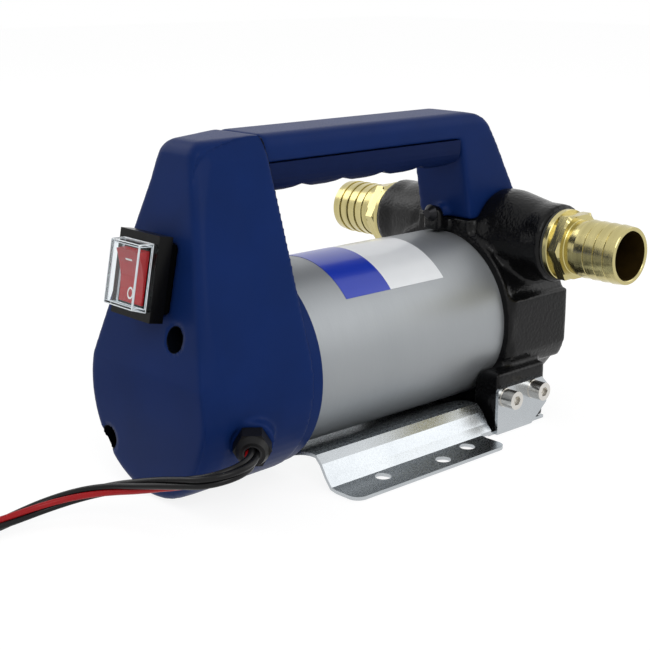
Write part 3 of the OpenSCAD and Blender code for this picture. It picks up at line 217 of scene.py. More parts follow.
# each finish starts from the real material; grain, patch and height are in millimetres
looks = {
    # moulded polypropylene with a spark-eroded grain of 0.45 mm: soft highlights, no mirror
    "mouldedCover": {
        "colour": "11295F", "shade": "0F2350", "grain": 0.45, "patch": 22, "height": 0.03,
        "rough": (0.32, 0.44), "ior": 1.49, "specular": 0.055,
    },
    # the same plastic, darker and duller on the grip
    "mouldedGrip": {
        "colour": "0F1E46", "shade": "0C193B", "grain": 0.45, "patch": 16, "height": 0.035,
        "rough": (0.4, 0.55), "ior": 1.49, "specular": 0.05,
    },
    # drawn steel tube under satin silver paint: faint rings from the drawing, a broad soft sheen
    "satinSilverPaint": {
        "colour": "A0A3A6", "shade": "979B9E", "grain": 0.5, "patch": 30, "height": 0.006,
        "rough": (0.42, 0.5), "metallic": 0.7, "stretch": (1, 0.05, 0.05), "specular": 0.3,
    },
    # grey iron casting under thick black enamel: grain of the sand 1.5 mm, rounded by the enamel
    "enamelledCastIron": {
        "colour": "080809", "shade": "0E0E0F", "grain": 1.5, "patch": 14, "height": 0.28,
        "rough": (0.14, 0.26), "strength": 0.9, "detail": 2.0, "specular": 0.17,
    },
    # turned brass: fine tool lines round the axis, bright yellow reflections
    "turnedBrass": {
        "colour": "D2C68E", "shade": "A89E6C", "grain": 0.4, "patch": 2.5, "height": 0.035,
        "rough": (0.14, 0.28), "metallic": 1.0, "stretch": (0.05, 1, 0.05),
    },
    # the bore of a hose tail: brass darkened to a dull brown, painted shade for the deep bore
    "paintedShadeBore": {
        "colour": "4E3B12", "shade": "32250A", "grain": 0.5, "patch": 5, "height": 0.02,
        "rough": (0.4, 0.55), "metallic": 0.7,
    },
    # milled brass inside the head, dull from the fuel
    "fuelStainedBrass": {
        "colour": "B98F45", "shade": "8F6C33", "grain": 0.6, "patch": 4, "height": 0.02,
        "rough": (0.3, 0.45), "metallic": 1.0,
    },
    # bright zinc plate on pressed steel sheet: cloudy blue-grey patches
    "zincPlatedSheet": {
        "colour": "BFC3C6", "shade": "AFB4B8", "grain": 0.8, "patch": 18, "height": 0.003,
        "rough": (0.22, 0.32), "metallic": 1.0,
    },
    # nickel-plated steel fasteners: near mirror, with small tool marks
    "nickelPlatedSteel": {
        "colour": "D9D6D0", "shade": "C2C0BC", "grain": 0.25, "patch": 3, "height": 0.01,
        "rough": (0.14, 0.28), "metallic": 1.0,
    },
    # black oxide screws of the handle
    "blackOxideSteel": {
        "colour": "1B1B1D", "shade": "26262A", "grain": 0.2, "patch": 3, "height": 0.01,
        "rough": (0.3, 0.45), "metallic": 0.8,
    },
    # ground steel of the shaft and bearings
    "groundSteel": {
        "colour": "BFC2C6", "shade": "A8ACB0", "grain": 0.2, "patch": 8, "height": 0.006,
        "rough": (0.12, 0.22), "metallic": 1.0, "stretch": (1, 0.1, 0.1),
    },
    # sintered steel rotor: fine open pores
    "sinteredSteel": {
        "colour": "7C7F83", "shade": "63666A", "grain": 0.3, "patch": 5, "height": 0.03,
        "rough": (0.35, 0.5), "metallic": 1.0,
    },
    # music wire of the springs
    "springWire": {
        "colour": "B9BDC2", "shade": "9DA2A8", "grain": 0.2, "patch": 4, "height": 0.006,
        "rough": (0.18, 0.3), "metallic": 1.0,
    },
    # ceramic ferrite magnets: dull charcoal
    "sinteredFerrite": {
        "colour": "2E2F33", "shade": "3A3B3F", "grain": 0.4, "patch": 6, "height": 0.02,
        "rough": (0.5, 0.65),
    },
    # die-cast aluminium end bell
    "dieCastAluminium": {
        "colour": "A9ACAE", "shade": "96999C", "grain": 0.7, "patch": 10, "height": 0.03,
        "rough": (0.35, 0.5), "metallic": 1.0,
    },
    # phenolic board of the brush card: brown, faintly fibrous
    "phenolicBoard": {
        "colour": "6B4526", "shade": "7D5430", "grain": 0.5, "patch": 5, "height": 0.02,
        "rough": (0.35, 0.5), "stretch": (1, 0.3, 1),
    },
    # pressed carbon brushes
    "pressedCarbon": {
        "colour": "1A1A1C", "shade": "252528", "grain": 0.2, "patch": 2, "height": 0.02,
        "rough": (0.45, 0.6),
    },
    # enamelled copper wire in bundles: lines 0.8 mm apart
    "enamelledCopper": {
        "colour": "A5562A", "shade": "7E3D1C", "grain": 0.8, "patch": 3, "height": 0.15,
        "rough": (0.2, 0.35), "metallic": 0.9, "stretch": (0.3, 1, 1), "coat": 0.6,
    },
    # bare copper segments of the commutator
    "polishedCopper": {
        "colour": "C9764A", "shade": "A85C38", "grain": 0.3, "patch": 4, "height": 0.01,
        "rough": (0.18, 0.3), "metallic": 1.0, "stretch": (1, 0.1, 0.1),
    },
    # glass-filled acetal vanes
    "filledAcetal": {
        "colour": "2C2C30", "shade": "38383C", "grain": 0.3, "patch": 3, "height": 0.01,
        "rough": (0.35, 0.5),
    },
    # nitrile rubber of the seals
    "nitrileRubber": {
        "colour": "19191B", "shade": "222224", "grain": 0.3, "patch": 4, "height": 0.01,
        "rough": (0.5, 0.65),
    },
    # pressed fibre gasket
    "fibreGasket": {
        "colour": "2B2C2A", "shade": "3A3B38", "grain": 0.4, "patch": 3, "height": 0.03,
        "rough": (0.6, 0.75),
    },
    # glass-filled nylon of the gland and tie: black with a light haze
    "glassFilledNylon": {
        "colour": "0B0B0C", "shade": "111112", "grain": 0.3, "patch": 6, "height": 0.015,
        "rough": (0.34, 0.46), "specular": 0.2,
    },
    # black switch moulding: smooth with a thin gloss
    "switchNylon": {
        "colour": "060606", "shade": "0A0A0B", "grain": 0.25, "patch": 8, "height": 0.008,
        "rough": (0.22, 0.3), "specular": 0.12,
    },
    # plated brass tabs of the switch
    "tinnedBrass": {
        "colour": "D8C99A", "shade": "C4B383", "grain": 0.3, "patch": 3, "height": 0.01,
        "rough": (0.2, 0.32), "metallic": 1.0,
    },
    # red polycarbonate rocker: clear skin over a deep colour
    "redPolycarbonate": {
        "colour": "B80C16", "shade": "A00A14", "grain": 0.3, "patch": 6, "height": 0.006,
        "rough": (0.14, 0.2), "specular": 0.2, "ior": 1.58,
    },
    # white print on the rocker
    "printedWhite": {
        "colour": "F0EEEA", "shade": "E2E0DC", "grain": 0.15, "patch": 2, "height": 0.004,
        "rough": (0.4, 0.5),
    },
    # painted highlight for the edges of clear PVC: pale and bright
    "paintedHighlightPvc": {
        "colour": "E8EDF0", "shade": "D4DBE0", "grain": 0.3, "patch": 3, "height": 0.004,
        "rough": (0.1, 0.2), "ior": 1.5,
    },
    # soft PVC insulation: slightly waxy, small dents along it
    "blackInsulation": {
        "colour": "0B0B0C", "shade": "101012", "grain": 1.2, "patch": 9, "height": 0.03,
        "rough": (0.26, 0.38), "specular": 0.22,
    },
    "redInsulation": {
        "colour": "A8141A", "shade": "901016", "grain": 1.2, "patch": 9, "height": 0.03,
        "rough": (0.26, 0.38), "specular": 0.22,
    },
    # dipped PVC on the battery clips
    "dippedRedPvc": {
        "colour": "B51A1E", "shade": "9E1418", "grain": 1.5, "patch": 8, "height": 0.03,
        "rough": (0.22, 0.32), "coat": 0.3,
    },
    "dippedBlackPvc": {
        "colour": "161618", "shade": "1E1E20", "grain": 1.5, "patch": 8, "height": 0.03,
        "rough": (0.22, 0.32), "coat": 0.3,
    },
}

finish = {name: makeFinish(name, look) for name, look in looks.items()}
print(len(finish), "finishes mixed")


# vinyl film; patch and height in millimetres, and the split, where the blue tone ends, in metres along X
labelFilm = {
    "split": -0.064, "patch": 12, "detail": 2.0, "height": 0.02, "strength": 0.2,
    "dark": "0B33B4", "darkShade": "0A2EA4", "pale": "E9EBED", "paleShade": "DFE2E5",
    "rough": 0.3, "ior": 1.5, "coat": 0.25,
}


def makeLabel():
    # printed vinyl film in two plain tones, split along the tube; the film is smooth and slightly glossy
    print("printing the label")
    material = startMaterial("printedVinyl")
    place = addNode(material, "ShaderNodeTexCoord")
    axes = addNode(material, "ShaderNodeSeparateXYZ", {}, {0: (place, "Object")})
    front = addNode(material, "ShaderNodeMath", {"operation": "GREATER_THAN", 1: labelFilm["split"]},
                    {0: (axes, 0)})
    wave = addNode(material, "ShaderNodeTexNoise",
                   {"Scale": perMetre / labelFilm["patch"], "Detail": labelFilm["detail"]},
                   {"Vector": (place, "Object")})
    dark = mixTones(material, labelFilm["dark"], labelFilm["darkShade"], (wave, 0))
    pale = mixTones(material, labelFilm["pale"], labelFilm["paleShade"], (wave, 0))
    tone = addNode(material, "ShaderNodeMix", {"data_type": "RGBA"},
                   {0: (front, 0), 6: (dark, 2), 7: (pale, 2)})
    bump = addNode(material, "ShaderNodeBump",
                   {"Strength": labelFilm["strength"], "Distance": labelFilm["height"] / perMetre},
                   {"Height": (wave, 0)})
    shader = addNode(material, "ShaderNodeBsdfPrincipled",
                     {"Roughness": labelFilm["rough"], "IOR": labelFilm["ior"],
                      "Coat Weight": labelFilm["coat"]},
                     {"Base Color": (tone, 2), "Normal": (bump, 0)})
    showSurface(material, shader)
    return material


# pitch in metres and height in millimetres; the wave node runs through 20 radians a unit at a scale of one
lamination = {"pitch": 0.001, "waveRadians": 20, "distortion": 0.3, "colour": "85888C", "shade": "4E5156",
              "height": 0.05, "strength": 0.6, "rough": 0.38}


def makeLaminations():
    # punched electrical steel, sheet on sheet: bands 1 mm apart along the motor, twice as coarse as real
    print("stacking the core")
    material = startMaterial("stackedElectricalSteel")
    place = addNode(material, "ShaderNodeTexCoord")
    bands = addNode(material, "ShaderNodeTexWave",
                    {"bands_direction": "X", "Distortion": lamination["distortion"],
                     "Scale": 2 * math.pi / (lamination["waveRadians"] * lamination["pitch"])},
                    {"Vector": (place, "Object")})
    tone = mixTones(material, lamination["colour"], lamination["shade"], (bands, "Fac"))
    bump = addNode(material, "ShaderNodeBump",
                   {"Strength": lamination["strength"], "Distance": lamination["height"] / perMetre},
                   {"Height": (bands, "Fac")})
    shader = addNode(material, "ShaderNodeBsdfPrincipled",
                     {"Metallic": 1.0, "Roughness": lamination["rough"]},
                     {"Base Color": (tone, 2), "Normal": (bump, 0)})
    showSurface(material, shader)
    return material


# ripple and height in millimetres
hoodPlastic = {"colour": "F4F8FA", "ior": 1.3, "specular": 0.2, "rough": 0.02,
               "ripple": 6, "detail": 1.0, "height": 0.03, "strength": 0.15}


def makeHoodPlastic():
    # clear soft PVC of the switch hood: see-through, and light passes it for shadows
    material = startMaterial("clearPvc")
    place = addNode(material, "ShaderNodeTexCoord")
    ripple = addNode(material, "ShaderNodeTexNoise",
                     {"Scale": perMetre / hoodPlastic["ripple"], "Detail": hoodPlastic["detail"]},
                     {"Vector": (place, "Object")})
    bump = addNode(material, "ShaderNodeBump",
                   {"Strength": hoodPlastic["strength"], "Distance": hoodPlastic["height"] / perMetre},
                   {"Height": (ripple, 0)})
    shader = addNode(material, "ShaderNodeBsdfPrincipled",
                     {"Base Color": linear(hoodPlastic["colour"]), "Transmission Weight": 1.0,
                      "Roughness": hoodPlastic["rough"], "IOR": hoodPlastic["ior"],
                      "Specular IOR Level": hoodPlastic["specular"]},
                     {"Normal": (bump, 0)})
    light = addNode(material, "ShaderNodeLightPath")
    clear = addNode(material, "ShaderNodeBsdfTransparent", {"Color": linear(hoodPlastic["colour"])})
    mix = addNode(material, "ShaderNodeMixShader", {},
                  {0: (light, "Is Shadow Ray"), 1: (shader, 0), 2: (clear, 0)})
    showSurface(material, mix)
    return material


# lines moulded on the cover, in metres: the chamfer beside its rear and top edges, the seam to the handle
# and the two deep screw holes; the gap at the seam and the inside of the holes get painted shade
coverLines = {
    "rear": -0.1715, "bendFrom": 0.062, "bend": 0.3174, "top": 0.143, "outside": 0.013,
    "strip": 0.0085, "drop": 0.0021, "easeFrom": 0.1, "easeTo": 0.8, "softness": 0.5,
    "seam": -0.1225, "seamShadeHalf": 0.0004, "seamShadeLow": 0.118, "paintedShadeColour": "05080F", "margin": 0.0011,
    "holes": ((-0.0166, 0.0684), (0.027, 0.0181)), "holeShadeReach": 0.0052, "holeR": 0.005,
}


def reckon(material, operation, a, b):
    # one sum in a material; a and b are each a number or a node's output
    settings = {"operation": operation}
    links = {}
    for socket, value in enumerate((a, b)):
        if isinstance(value, tuple):
            links[socket] = value
        else:
            settings[socket] = value
    return addNode(material, "ShaderNodeMath", settings, links), 0


def paintCoverShade(material):
    # painted shade over the moulded plastic: the gap at the handle's seam and the deep screw holes darkened
    tree = material.node_tree
    shader = next(n for n in tree.nodes if n.type == "BSDF_PRINCIPLED")
    tone = shader.inputs["Base Color"].links[0].from_socket
    place = addNode(material, "ShaderNodeTexCoord")
    axes = addNode(material, "ShaderNodeSeparateXYZ", {}, {0: (place, "Object")})
    seam = addNode(material, "ShaderNodeMath",
                   {"operation": "COMPARE", 1: coverLines["seam"], 2: coverLines["seamShadeHalf"]},
                   {0: (axes, 0)})
    high = reckon(material, "GREATER_THAN", (axes, 2), coverLines["seamShadeLow"])
    shadeMask = reckon(material, "MULTIPLY", (seam, 0), high)
    for y, z in coverLines["holes"]:
        across = reckon(material, "SUBTRACT", (axes, 1), y)
        upward = reckon(material, "SUBTRACT", (axes, 2), z)
        squares = reckon(material, "ADD", reckon(material, "MULTIPLY", across, across),
                         reckon(material, "MULTIPLY", upward, upward))
        reach = reckon(material, "SQRT", squares, 0.0)
        holeShade = reckon(material, "LESS_THAN", reach, coverLines["holeShadeReach"])
        shadeMask = reckon(material, "MAXIMUM", shadeMask, holeShade)
    # painted shade: a near-black colour laid over the plastic in the seam's gap and in the deep screw holes
    dark = addNode(material, "ShaderNodeMix", {"data_type": "RGBA", 7: linear(coverLines["paintedShadeColour"])},
                   {0: shadeMask})
    tree.links.new(tone, dark.inputs[6])
    tree.links.new(dark.outputs[2], shader.inputs["Base Color"])


paintCoverShade(finish["mouldedCover"])
paintCoverShade(finish["mouldedGrip"])
finish["printedVinyl"] = makeLabel()
finish["stackedElectricalSteel"] = makeLaminations()
finish["clearPvc"] = makeHoodPlastic()

# which finish each piece of the part wears
wears = {
    "mouldedCover": ("rear_cover", "cover_ring", "handle_shell"),
    "mouldedGrip": ("handle_grip",),
    "satinSilverPaint": ("motor_tube",),
    "printedVinyl": ("label",),
    "enamelledCastIron": ("pump_head", "front_lid"),
    "turnedBrass": ("inlet_tail", "outlet_tail"),
    "fuelStainedBrass": ("relief_poppet", "relief_plug"),
    "zincPlatedSheet": ("base_plate",),
    "nickelPlatedSteel": ("ear_screws", "ear_washers", "lid_screws", "through_bolts", "cover_screws",
                          "clip_pins", "inlet_strainer"),
    "blackOxideSteel": ("handle_screws",),
    "groundSteel": ("armature_shaft", "rear_bearing", "front_bearing", "drive_key"),
    "sinteredSteel": ("pump_rotor",),
    "springWire": ("relief_spring", "clip_spring_red", "clip_spring_black"),
    "sinteredFerrite": ("magnets",),
    "dieCastAluminium": ("end_bell",),
    "phenolicBoard": ("brush_card",),
    "pressedCarbon": ("brushes",),
    "stackedElectricalSteel": ("armature_core",),
    "enamelledCopper": ("armature_winding",),
    "polishedCopper": ("commutator",),
    "filledAcetal": ("vane_1", "vane_2", "vane_3", "vane_4", "vane_5"),
    "nitrileRubber": ("shaft_seal", "lid_seal", "gland_seal"),
    "fibreGasket": ("port_gaskets",),
    "glassFilledNylon": ("gland_body", "gland_nut", "cable_tie"),
    "switchNylon": ("switch_frame",),
    "tinnedBrass": ("switch_tabs",),
    "redPolycarbonate": ("switch_rocker",),
    "clearPvc": ("switch_hood",),
    "blackInsulation": ("cable", "cable_coil", "lead_black"),
    "redInsulation": ("lead_red",),
    "dippedRedPvc": ("clip_red_lower", "clip_red_upper"),
    "dippedBlackPvc": ("clip_black_lower", "clip_black_upper"),
}


def dressNodes():
    for name, nodes in wears.items():
        for node in nodes:
            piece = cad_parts[node]
            if not piece.material_slots:
                piece.data.materials.append(None)
            for place in piece.material_slots:
                place.material = finish[name]


dressNodes()
print("the part is dressed")

# four cores wound together, the third of them red; in metres, with the route as in the part's source.
# offset is from the bundle's middle to a core's, pitch is one turn of the cores, start their first angle
lead = {
    "route": (
        (-0.156, -0.0478, 0.0296), (-0.1601, -0.0527, 0.0287), (-0.1654, -0.0563, 0.0278),
        (-0.1717, -0.057, 0.0267), (-0.1776, -0.0547, 0.0253), (-0.1818, -0.0498, 0.0236),
        (-0.1838, -0.0437, 0.022), (-0.1857, -0.0376, 0.0204), (-0.1876, -0.0315, 0.0188),
        (-0.1895, -0.0253, 0.017), (-0.1913, -0.0192, 0.0152), (-0.1933, -0.0131, 0.0135),
        (-0.1962, -0.0073, 0.0118), (-0.2001, -0.0022, 0.0102), (-0.2049, 0.002, 0.0086),
        (-0.2104, 0.0053, 0.007), (-0.2165, 0.0075, 0.0056), (-0.2228, 0.0085, 0.0045),
        (-0.2292, 0.0086, 0.0038), (-0.2356, 0.0086, 0.0033), (-0.2421, 0.0086, 0.0032),
        (-0.2481, 0.0107, 0.0035), (-0.2524, 0.0154, 0.0038), (-0.254, 0.0216, 0.0038),
        (-0.254, 0.028, 0.0038),
    ),
    "diameter": 0.006,
    "core": 0.0013,
    "offset": 0.00168,
    "pitch": 0.16,
    "start": 3.05,
    "sides": 10,
    "colours": (0, 0, 1, 0),
    "filler": 0.5,
    "fillerSides": 6,
    "routeSteps": 3,
    "fineSteps": 2,
}

# the coil beyond the picture's edge: two layers of flat turns, as in the part's source; in metres, and
# crossing is the share of a turn, each way, in which the cord climbs to the upper layer
coil = {"middle": (-0.3048, 0.034), "inner": 0.024, "pitch": 0.0067, "lift": 0.0066, "loops": 4, "rings": 24,
        "tie": 0.0008, "crossing": 0.25}


def coilPoints():
    radius = lead["diameter"] / 2
    low = coil["tie"] + radius
    x, y = coil["middle"]
    outer = coil["inner"] + coil["pitch"] * coil["loops"]
    points = [Vector((x + outer, y - lead["diameter"], low))]
    for i in range(2 * coil["loops"] * coil["rings"] + 1):
        t = i / coil["rings"] - coil["loops"]
        r = coil["inner"] + coil["pitch"] * abs(t)
        climb = min(max(t, -coil["crossing"]), coil["crossing"]) + coil["crossing"]
        share = (1 - math.cos(2 * math.pi * climb)) / 2
        a = 2 * math.pi * t
        points.append(Vector((x + r * math.cos(a), y + r * math.sin(a), low + coil["lift"] * share)))
    points.append(Vector((x + outer, y + lead["diameter"], low + coil["lift"])))
    return points


def makeLead():
    path = smoothRoute(lead["route"], lead["routeSteps"])[:-1] + coilPoints()
    fine = smoothRoute(path, lead["fineSteps"])
    axes = pathFrames(fine)
    mesh = bmesh.new()
    for core, material in enumerate(lead["colours"]):
        turn = lead["start"] + 2 * math.pi * core / len(lead["colours"])
        sweepCore(mesh, fine, axes, lead["core"], lead["sides"], material, lead["offset"], turn,
                  2 * math.pi / lead["pitch"])
    # a thin filler between the cores closes the middle of the bundle
    sweepCore(mesh, fine, axes, lead["core"] * lead["filler"], lead["fillerSides"], 0)
    piece = addPiece("mainLead", mesh, "housing", (finish["blackInsulation"], finish["redInsulation"]))
    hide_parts("cable", "cable_coil")
    makeSleeve(path)


# heat-shrink sleeve where the bundle parts into the two tails, in metres; the profile has the share of its
# length, and its width and height against the bundle
sleeve = {
    "back": 0.009, "over": 0.0004, "end": 0.0035, "sides": 20,
    "profile": ((0, 0.99, 0.99), (0.06, 1.03, 1.03), (0.5, 1, 1), (0.8, 0.97, 0.86), (1, 0.95, 0.62)),
}


def makeSleeve(path):
    upright = Vector((0, 0, 1))
    along = (path[-1] - path[-2]).normalized()
    side = along.cross(upright).normalized()
    radius = lead["diameter"] / 2 + sleeve["over"]
    mesh = bmesh.new()
    rings = []
    for share, wide, high in sleeve["profile"]:
        middle = path[-1] + along * (share * (sleeve["back"] + sleeve["end"]) - sleeve["back"])
        across = radius * wide * side
        rise = radius * high * upright
        rings.append([mesh.verts.new(middle + across * math.cos(a) + rise * math.sin(a))
                      for a in circle(sleeve["sides"])])
    for one, two in zip(rings, rings[1:]):
        for face in joinRings(mesh, one, two):
            face.smooth = True
    mesh.faces.new(rings[0][::-1])
    mesh.faces.new(rings[-1])
    return addPiece("breakoutSleeve", mesh, "housing", (finish["nitrileRubber"],))


makeLead()
print("main lead is coiled")

# single tails from the sleeve to the battery clips, in metres
tails = {
    "red": (
        (-0.2555, 0.0402, 0.0104), (-0.2555, 0.044, 0.0104), (-0.2525, 0.056, 0.008),
        (-0.255, 0.068, 0.004), (-0.261, 0.08, 0.0025), (-0.264, 0.09, 0.0025),
        (-0.264, 0.093, 0.0025), (-0.264, 0.1, 0.0025),
    ),
    "black": (
        (-0.2525, 0.0402, 0.0104), (-0.2525, 0.044, 0.0104), (-0.248, 0.056, 0.008),
        (-0.244, 0.068, 0.004), (-0.241, 0.08, 0.0025), (-0.24, 0.09, 0.0025),
        (-0.24, 0.093, 0.0025), (-0.24, 0.1, 0.0025),
    ),
    "diameter": 0.003,
    "steps": 4,
    "sides": 12,
}


def makeTail(colour):
    path = smoothRoute(tails[colour], tails["steps"])
    mesh = bmesh.new()
    sweepCore(mesh, path, pathFrames(path), tails["diameter"] / 2, tails["sides"], 0)
    piece = addPiece(colour + "Tail", mesh, "housing", (finish[colour + "Insulation"],))
    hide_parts("lead_" + colour)


for colour in ("red", "black"):
    makeTail(colour)
print("tails reach the clips")

# the head as it was cast: the machined solid's outer edges rounded by sand and enamel, in metres; near is how
# far a softened wall may be from the bore or floor that it goes back to
casting = {"grid": 0.0011, "rounds": 8, "share": 0.6, "near": 0.0016}
# the cover as it was moulded: finer, with hardly any rounding
moulding = {"grid": 0.00095, "rounds": 3, "share": 0.5}
# the handle's long edges are rounder, to suit a hand
handleMoulding = {"grid": 0.001, "rounds": 16, "share": 0.6}


def recast(name, node, how, material):
    # a copy of the solid in an even grid, with its edges softened
    mesh = bmesh.new()
    mesh.from_mesh(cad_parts[node].data)
    piece = addPiece(name, mesh, "housing", (material,))
    remesh = piece.modifiers.new("grid", "REMESH")
    remesh.mode = "VOXEL"
    remesh.voxel_size = how["grid"]
    soft = piece.modifiers.new("soften", "SMOOTH")
    soft.factor = how["share"]
    soft.iterations = how["rounds"]
    graph = bpy.context.evaluated_depsgraph_get()
    shaped = bpy.data.meshes.new_from_object(piece.evaluated_get(graph))
    piece.modifiers.clear()
    piece.data = shaped
    for face in shaped.polygons:
        face.use_smooth = True
    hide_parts(node)
    return piece


head = recast("castHead", "pump_head", casting, finish["enamelledCastIron"])
print("head is cast")


def ease(value, low, high):
    share = min(max((value - low) / (high - low), 0), 1)
    return share * share * (3 - 2 * share)


def trueBore(piece, holes):
    # bores that the softening left rough are put back round: points near a wall or a floor go onto the
    # radius or the floor given here, and near the corner onto both
    for point in piece.data.vertices:
        for y, z, radius, start, end, floor in holes:
            across, upward = point.co.y - y, point.co.z - z
            reach = math.hypot(across, upward)
            if start - casting["near"] < point.co.x < end and abs(reach - radius) < casting["near"]:
                point.co.y = y + across * radius / reach
                point.co.z = z + upward * radius / reach
                reach = radius
            if floor is not None and reach <= radius and abs(point.co.x - floor) < casting["near"]:
                point.co.x = floor


def chamferCover(piece):
    # the sides of the cover fall away in a strip along its rear and top edges
    mesh = bmesh.new()
    mesh.from_mesh(piece.data)
    mesh.normal_update()
    moves = {}
    for point in mesh.verts:
        x, y, z = point.co
        if x > coverLines["seam"] or abs(y) < coverLines["outside"] or y * point.normal.y <= 0:
            continue
        bend = max(z - coverLines["bendFrom"], 0) ** 2 / coverLines["bend"]
        near = min(x - coverLines["rear"] - bend, coverLines["top"] - z)
        if near < coverLines["strip"]:
            share = ease(abs(point.normal.y), coverLines["easeFrom"], coverLines["easeTo"])
            share *= min(1 - near / coverLines["strip"], 1)
            moves[point] = math.copysign(coverLines["drop"] * share, y)
    for point, move in moves.items():
        point.co.y -= move
    behind = [p for p in mesh.verts if p.co.x < coverLines["seam"] - coverLines["margin"]]
    bmesh.ops.smooth_vert(mesh, verts=behind, factor=coverLines["softness"],
                          use_axis_x=True, use_axis_y=True, use_axis_z=True)
    mesh.to_mesh(piece.data)
    mesh.free()
    trueBore(piece, [(y, z, coverLines["holeR"], coverLines["rear"], coverLines["seam"], None)
                     for y, z in coverLines["holes"]])


# eccentric chamber of the head, in metres: place in y and z, radius, x of its start and mouth, and its floor;
# 0.2 mm wider and deeper than the solid's 24.4 and 14 mm, so that the softened head stays clear of the vanes
chamber = (0.0, 0.044, 0.0246, 0.014, 0.0365, 0.0138)
trueBore(head, [chamber])
cover = recast("mouldedCover", "rear_cover", moulding, finish["mouldedCover"])
chamferCover(cover)
recast("mouldedHandle", "handle_shell", handleMoulding, finish["mouldedCover"])
print("cover is moulded")

# hose tails as they leave the lathe, in millimetres: collar, chamfered hexagon, neck and barbs with sharp
# steps; sharp is the least angle, in degrees, of an edge that isn't shaded round
tail = {
    "x": 25, "y": 52.5, "z": 84.6, "back": 15, "length": 36.2, "threadR": 13.0, "bore": 11.0,
    "collar": 2.6, "collarR": 16.25, "hex": 6.4, "across": 29, "chamfer": 1.1, "chamferStand": 0.4,
    "cornerStand": 3, "neck": 6, "neckR": 12.3, "barbR": 13.35, "drop": 0.45, "barbs": 4, "rise": 0.02,
    "riseDrop": 0.15, "crest": 0.2, "groove": 0.35, "dip": 0.4, "lip": 0.05, "edge": 0.3, "sides": 96,
    "sharp": 9,
}


def tailRadius(angle, stand):
    # a hexagon's radius, cut off where its corner stands further than this past the flats
    part = (angle + math.pi / 6) % (math.pi / 3) - math.pi / 6
    return min(tail["across"] / 2 / math.cos(part), tail["across"] / 2 + stand)


def tailRings():
    # distance out, radius, and the corner's stand where the ring belongs to the hexagon
    edge = tail["edge"]
    collar = tail["collar"]
    wide = tail["collarR"]
    start = collar + tail["hex"]
    small = tail["barbR"] - tail["drop"]
    rings = [
        (-tail["back"], tail["threadR"], None), (0, tail["threadR"], None), (0, wide - edge, None),
        (edge, wide, None), (collar - edge, wide, None), (collar, wide - edge, None),
        (collar, None, tail["chamferStand"]), (collar + tail["chamfer"], None, tail["cornerStand"]),
        (start - tail["chamfer"], None, tail["cornerStand"]), (start, None, tail["chamferStand"]),
        (start, tail["neckR"] + edge, None), (start + edge, tail["neckR"], None),
    ]
    step = (tail["length"] - start - tail["neck"]) / tail["barbs"]
    for k in range(tail["barbs"]):
        out = start + tail["neck"] + k * step
        foot = small - (tail["dip"] if k else tail["lip"])
        rings += [
            (out - tail["groove"], foot, None), (out, foot, None),
            (out + tail["rise"], tail["barbR"] - tail["riseDrop"], None),
            (out + tail["crest"], tail["barbR"], None), (out + step - 2 * tail["groove"], small, None),
        ]
    end = tail["length"]
    bore = tail["bore"]
    rings += [(end - edge, small - tail["lip"], None), (end, small - edge, None), (end, bore + edge, None),
              (end - edge, bore, None), (-tail["back"], bore, None)]
    return rings


def makeTailPiece(name, node, side):
    rings = tailRings()
    mesh = bmesh.new()
    loops = []
    for out, radius, stand in rings:
        loop = []
        for a in circle(tail["sides"]):
            size = radius if stand is None else tailRadius(a, stand)
            place = (tail["x"] + size * math.sin(a), side * (tail["y"] + out), tail["z"] + size * math.cos(a))
            loop.append(mesh.verts.new(Vector(place) / perMetre))
        loops.append(loop)
    for i in range(len(loops)):
        n = (i + 1) % len(loops)
        for face in joinRings(mesh, loops[i], loops[n]):
            face.smooth = rings[i][2] is None and rings[n][2] is None
            # the band before the last is the wall of the bore, in the brass with painted shade
            face.material_index = 1 if i == len(loops) - 2 else 0
    bmesh.ops.recalc_face_normals(mesh, faces=mesh.faces[:])
    mesh.normal_update()
    for edge in mesh.edges:
        if len(edge.link_faces) == 2 and edge.calc_face_angle() > math.radians(tail["sharp"]):
            edge.smooth = False
    piece = addPiece(name, mesh, "housing", (finish["turnedBrass"], finish["paintedShadeBore"]))
    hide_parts(node)


makeTailPiece("inletTail", "inlet_tail", -1)
makeTailPiece("outletTail", "outlet_tail", 1)
print("hose tails are turned")


# beads of painted highlight on the hood's edges, in metres: their radius, the least edge that gets one and
# how near two points count as one; flat and sharp are in degrees, the bend that is smoothed over and the bend
# that makes a corner
hoodHighlight = {"radius": 0.00022, "least": 0.004, "merge": 1e-5, "flat": 2, "sharp": 40, "sides": 6}


def makeHoodHighlights():
    # painted highlight: thin pale beads along the hood's corners, where the clear plastic looks bright
    mesh = bmesh.new()
    mesh.from_mesh(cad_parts["switch_hood"].data)
    bmesh.ops.remove_doubles(mesh, verts=mesh.verts[:], dist=hoodHighlight["merge"])
    bmesh.ops.dissolve_limit(mesh, angle_limit=math.radians(hoodHighlight["flat"]), verts=mesh.verts[:],
                             edges=mesh.edges[:])
    lines = [(e.verts[0].co.copy(), e.verts[1].co.copy()) for e in mesh.edges
             if len(e.link_faces) == 2 and e.calc_face_angle() > math.radians(hoodHighlight["sharp"])
             and e.calc_length() > hoodHighlight["least"]]
    mesh.free()
    beads = bmesh.new()
    for a, b in lines:
        along = (b - a).normalized()
        side = along.orthogonal().normalized()
        up = along.cross(side)
        ends = [[beads.verts.new(p + hoodHighlight["radius"] * (math.cos(t) * side + math.sin(t) * up))
                 for t in circle(hoodHighlight["sides"])] for p in (a, b)]
        joinRings(beads, ends[0], ends[1])
        beads.faces.new(ends[0][::-1])
        beads.faces.new(ends[1])
    print("hood edges", len(lines))
    addPiece("hoodHighlightBeads", beads, "housing", (finish["paintedHighlightPvc"],))


makeHoodHighlights()

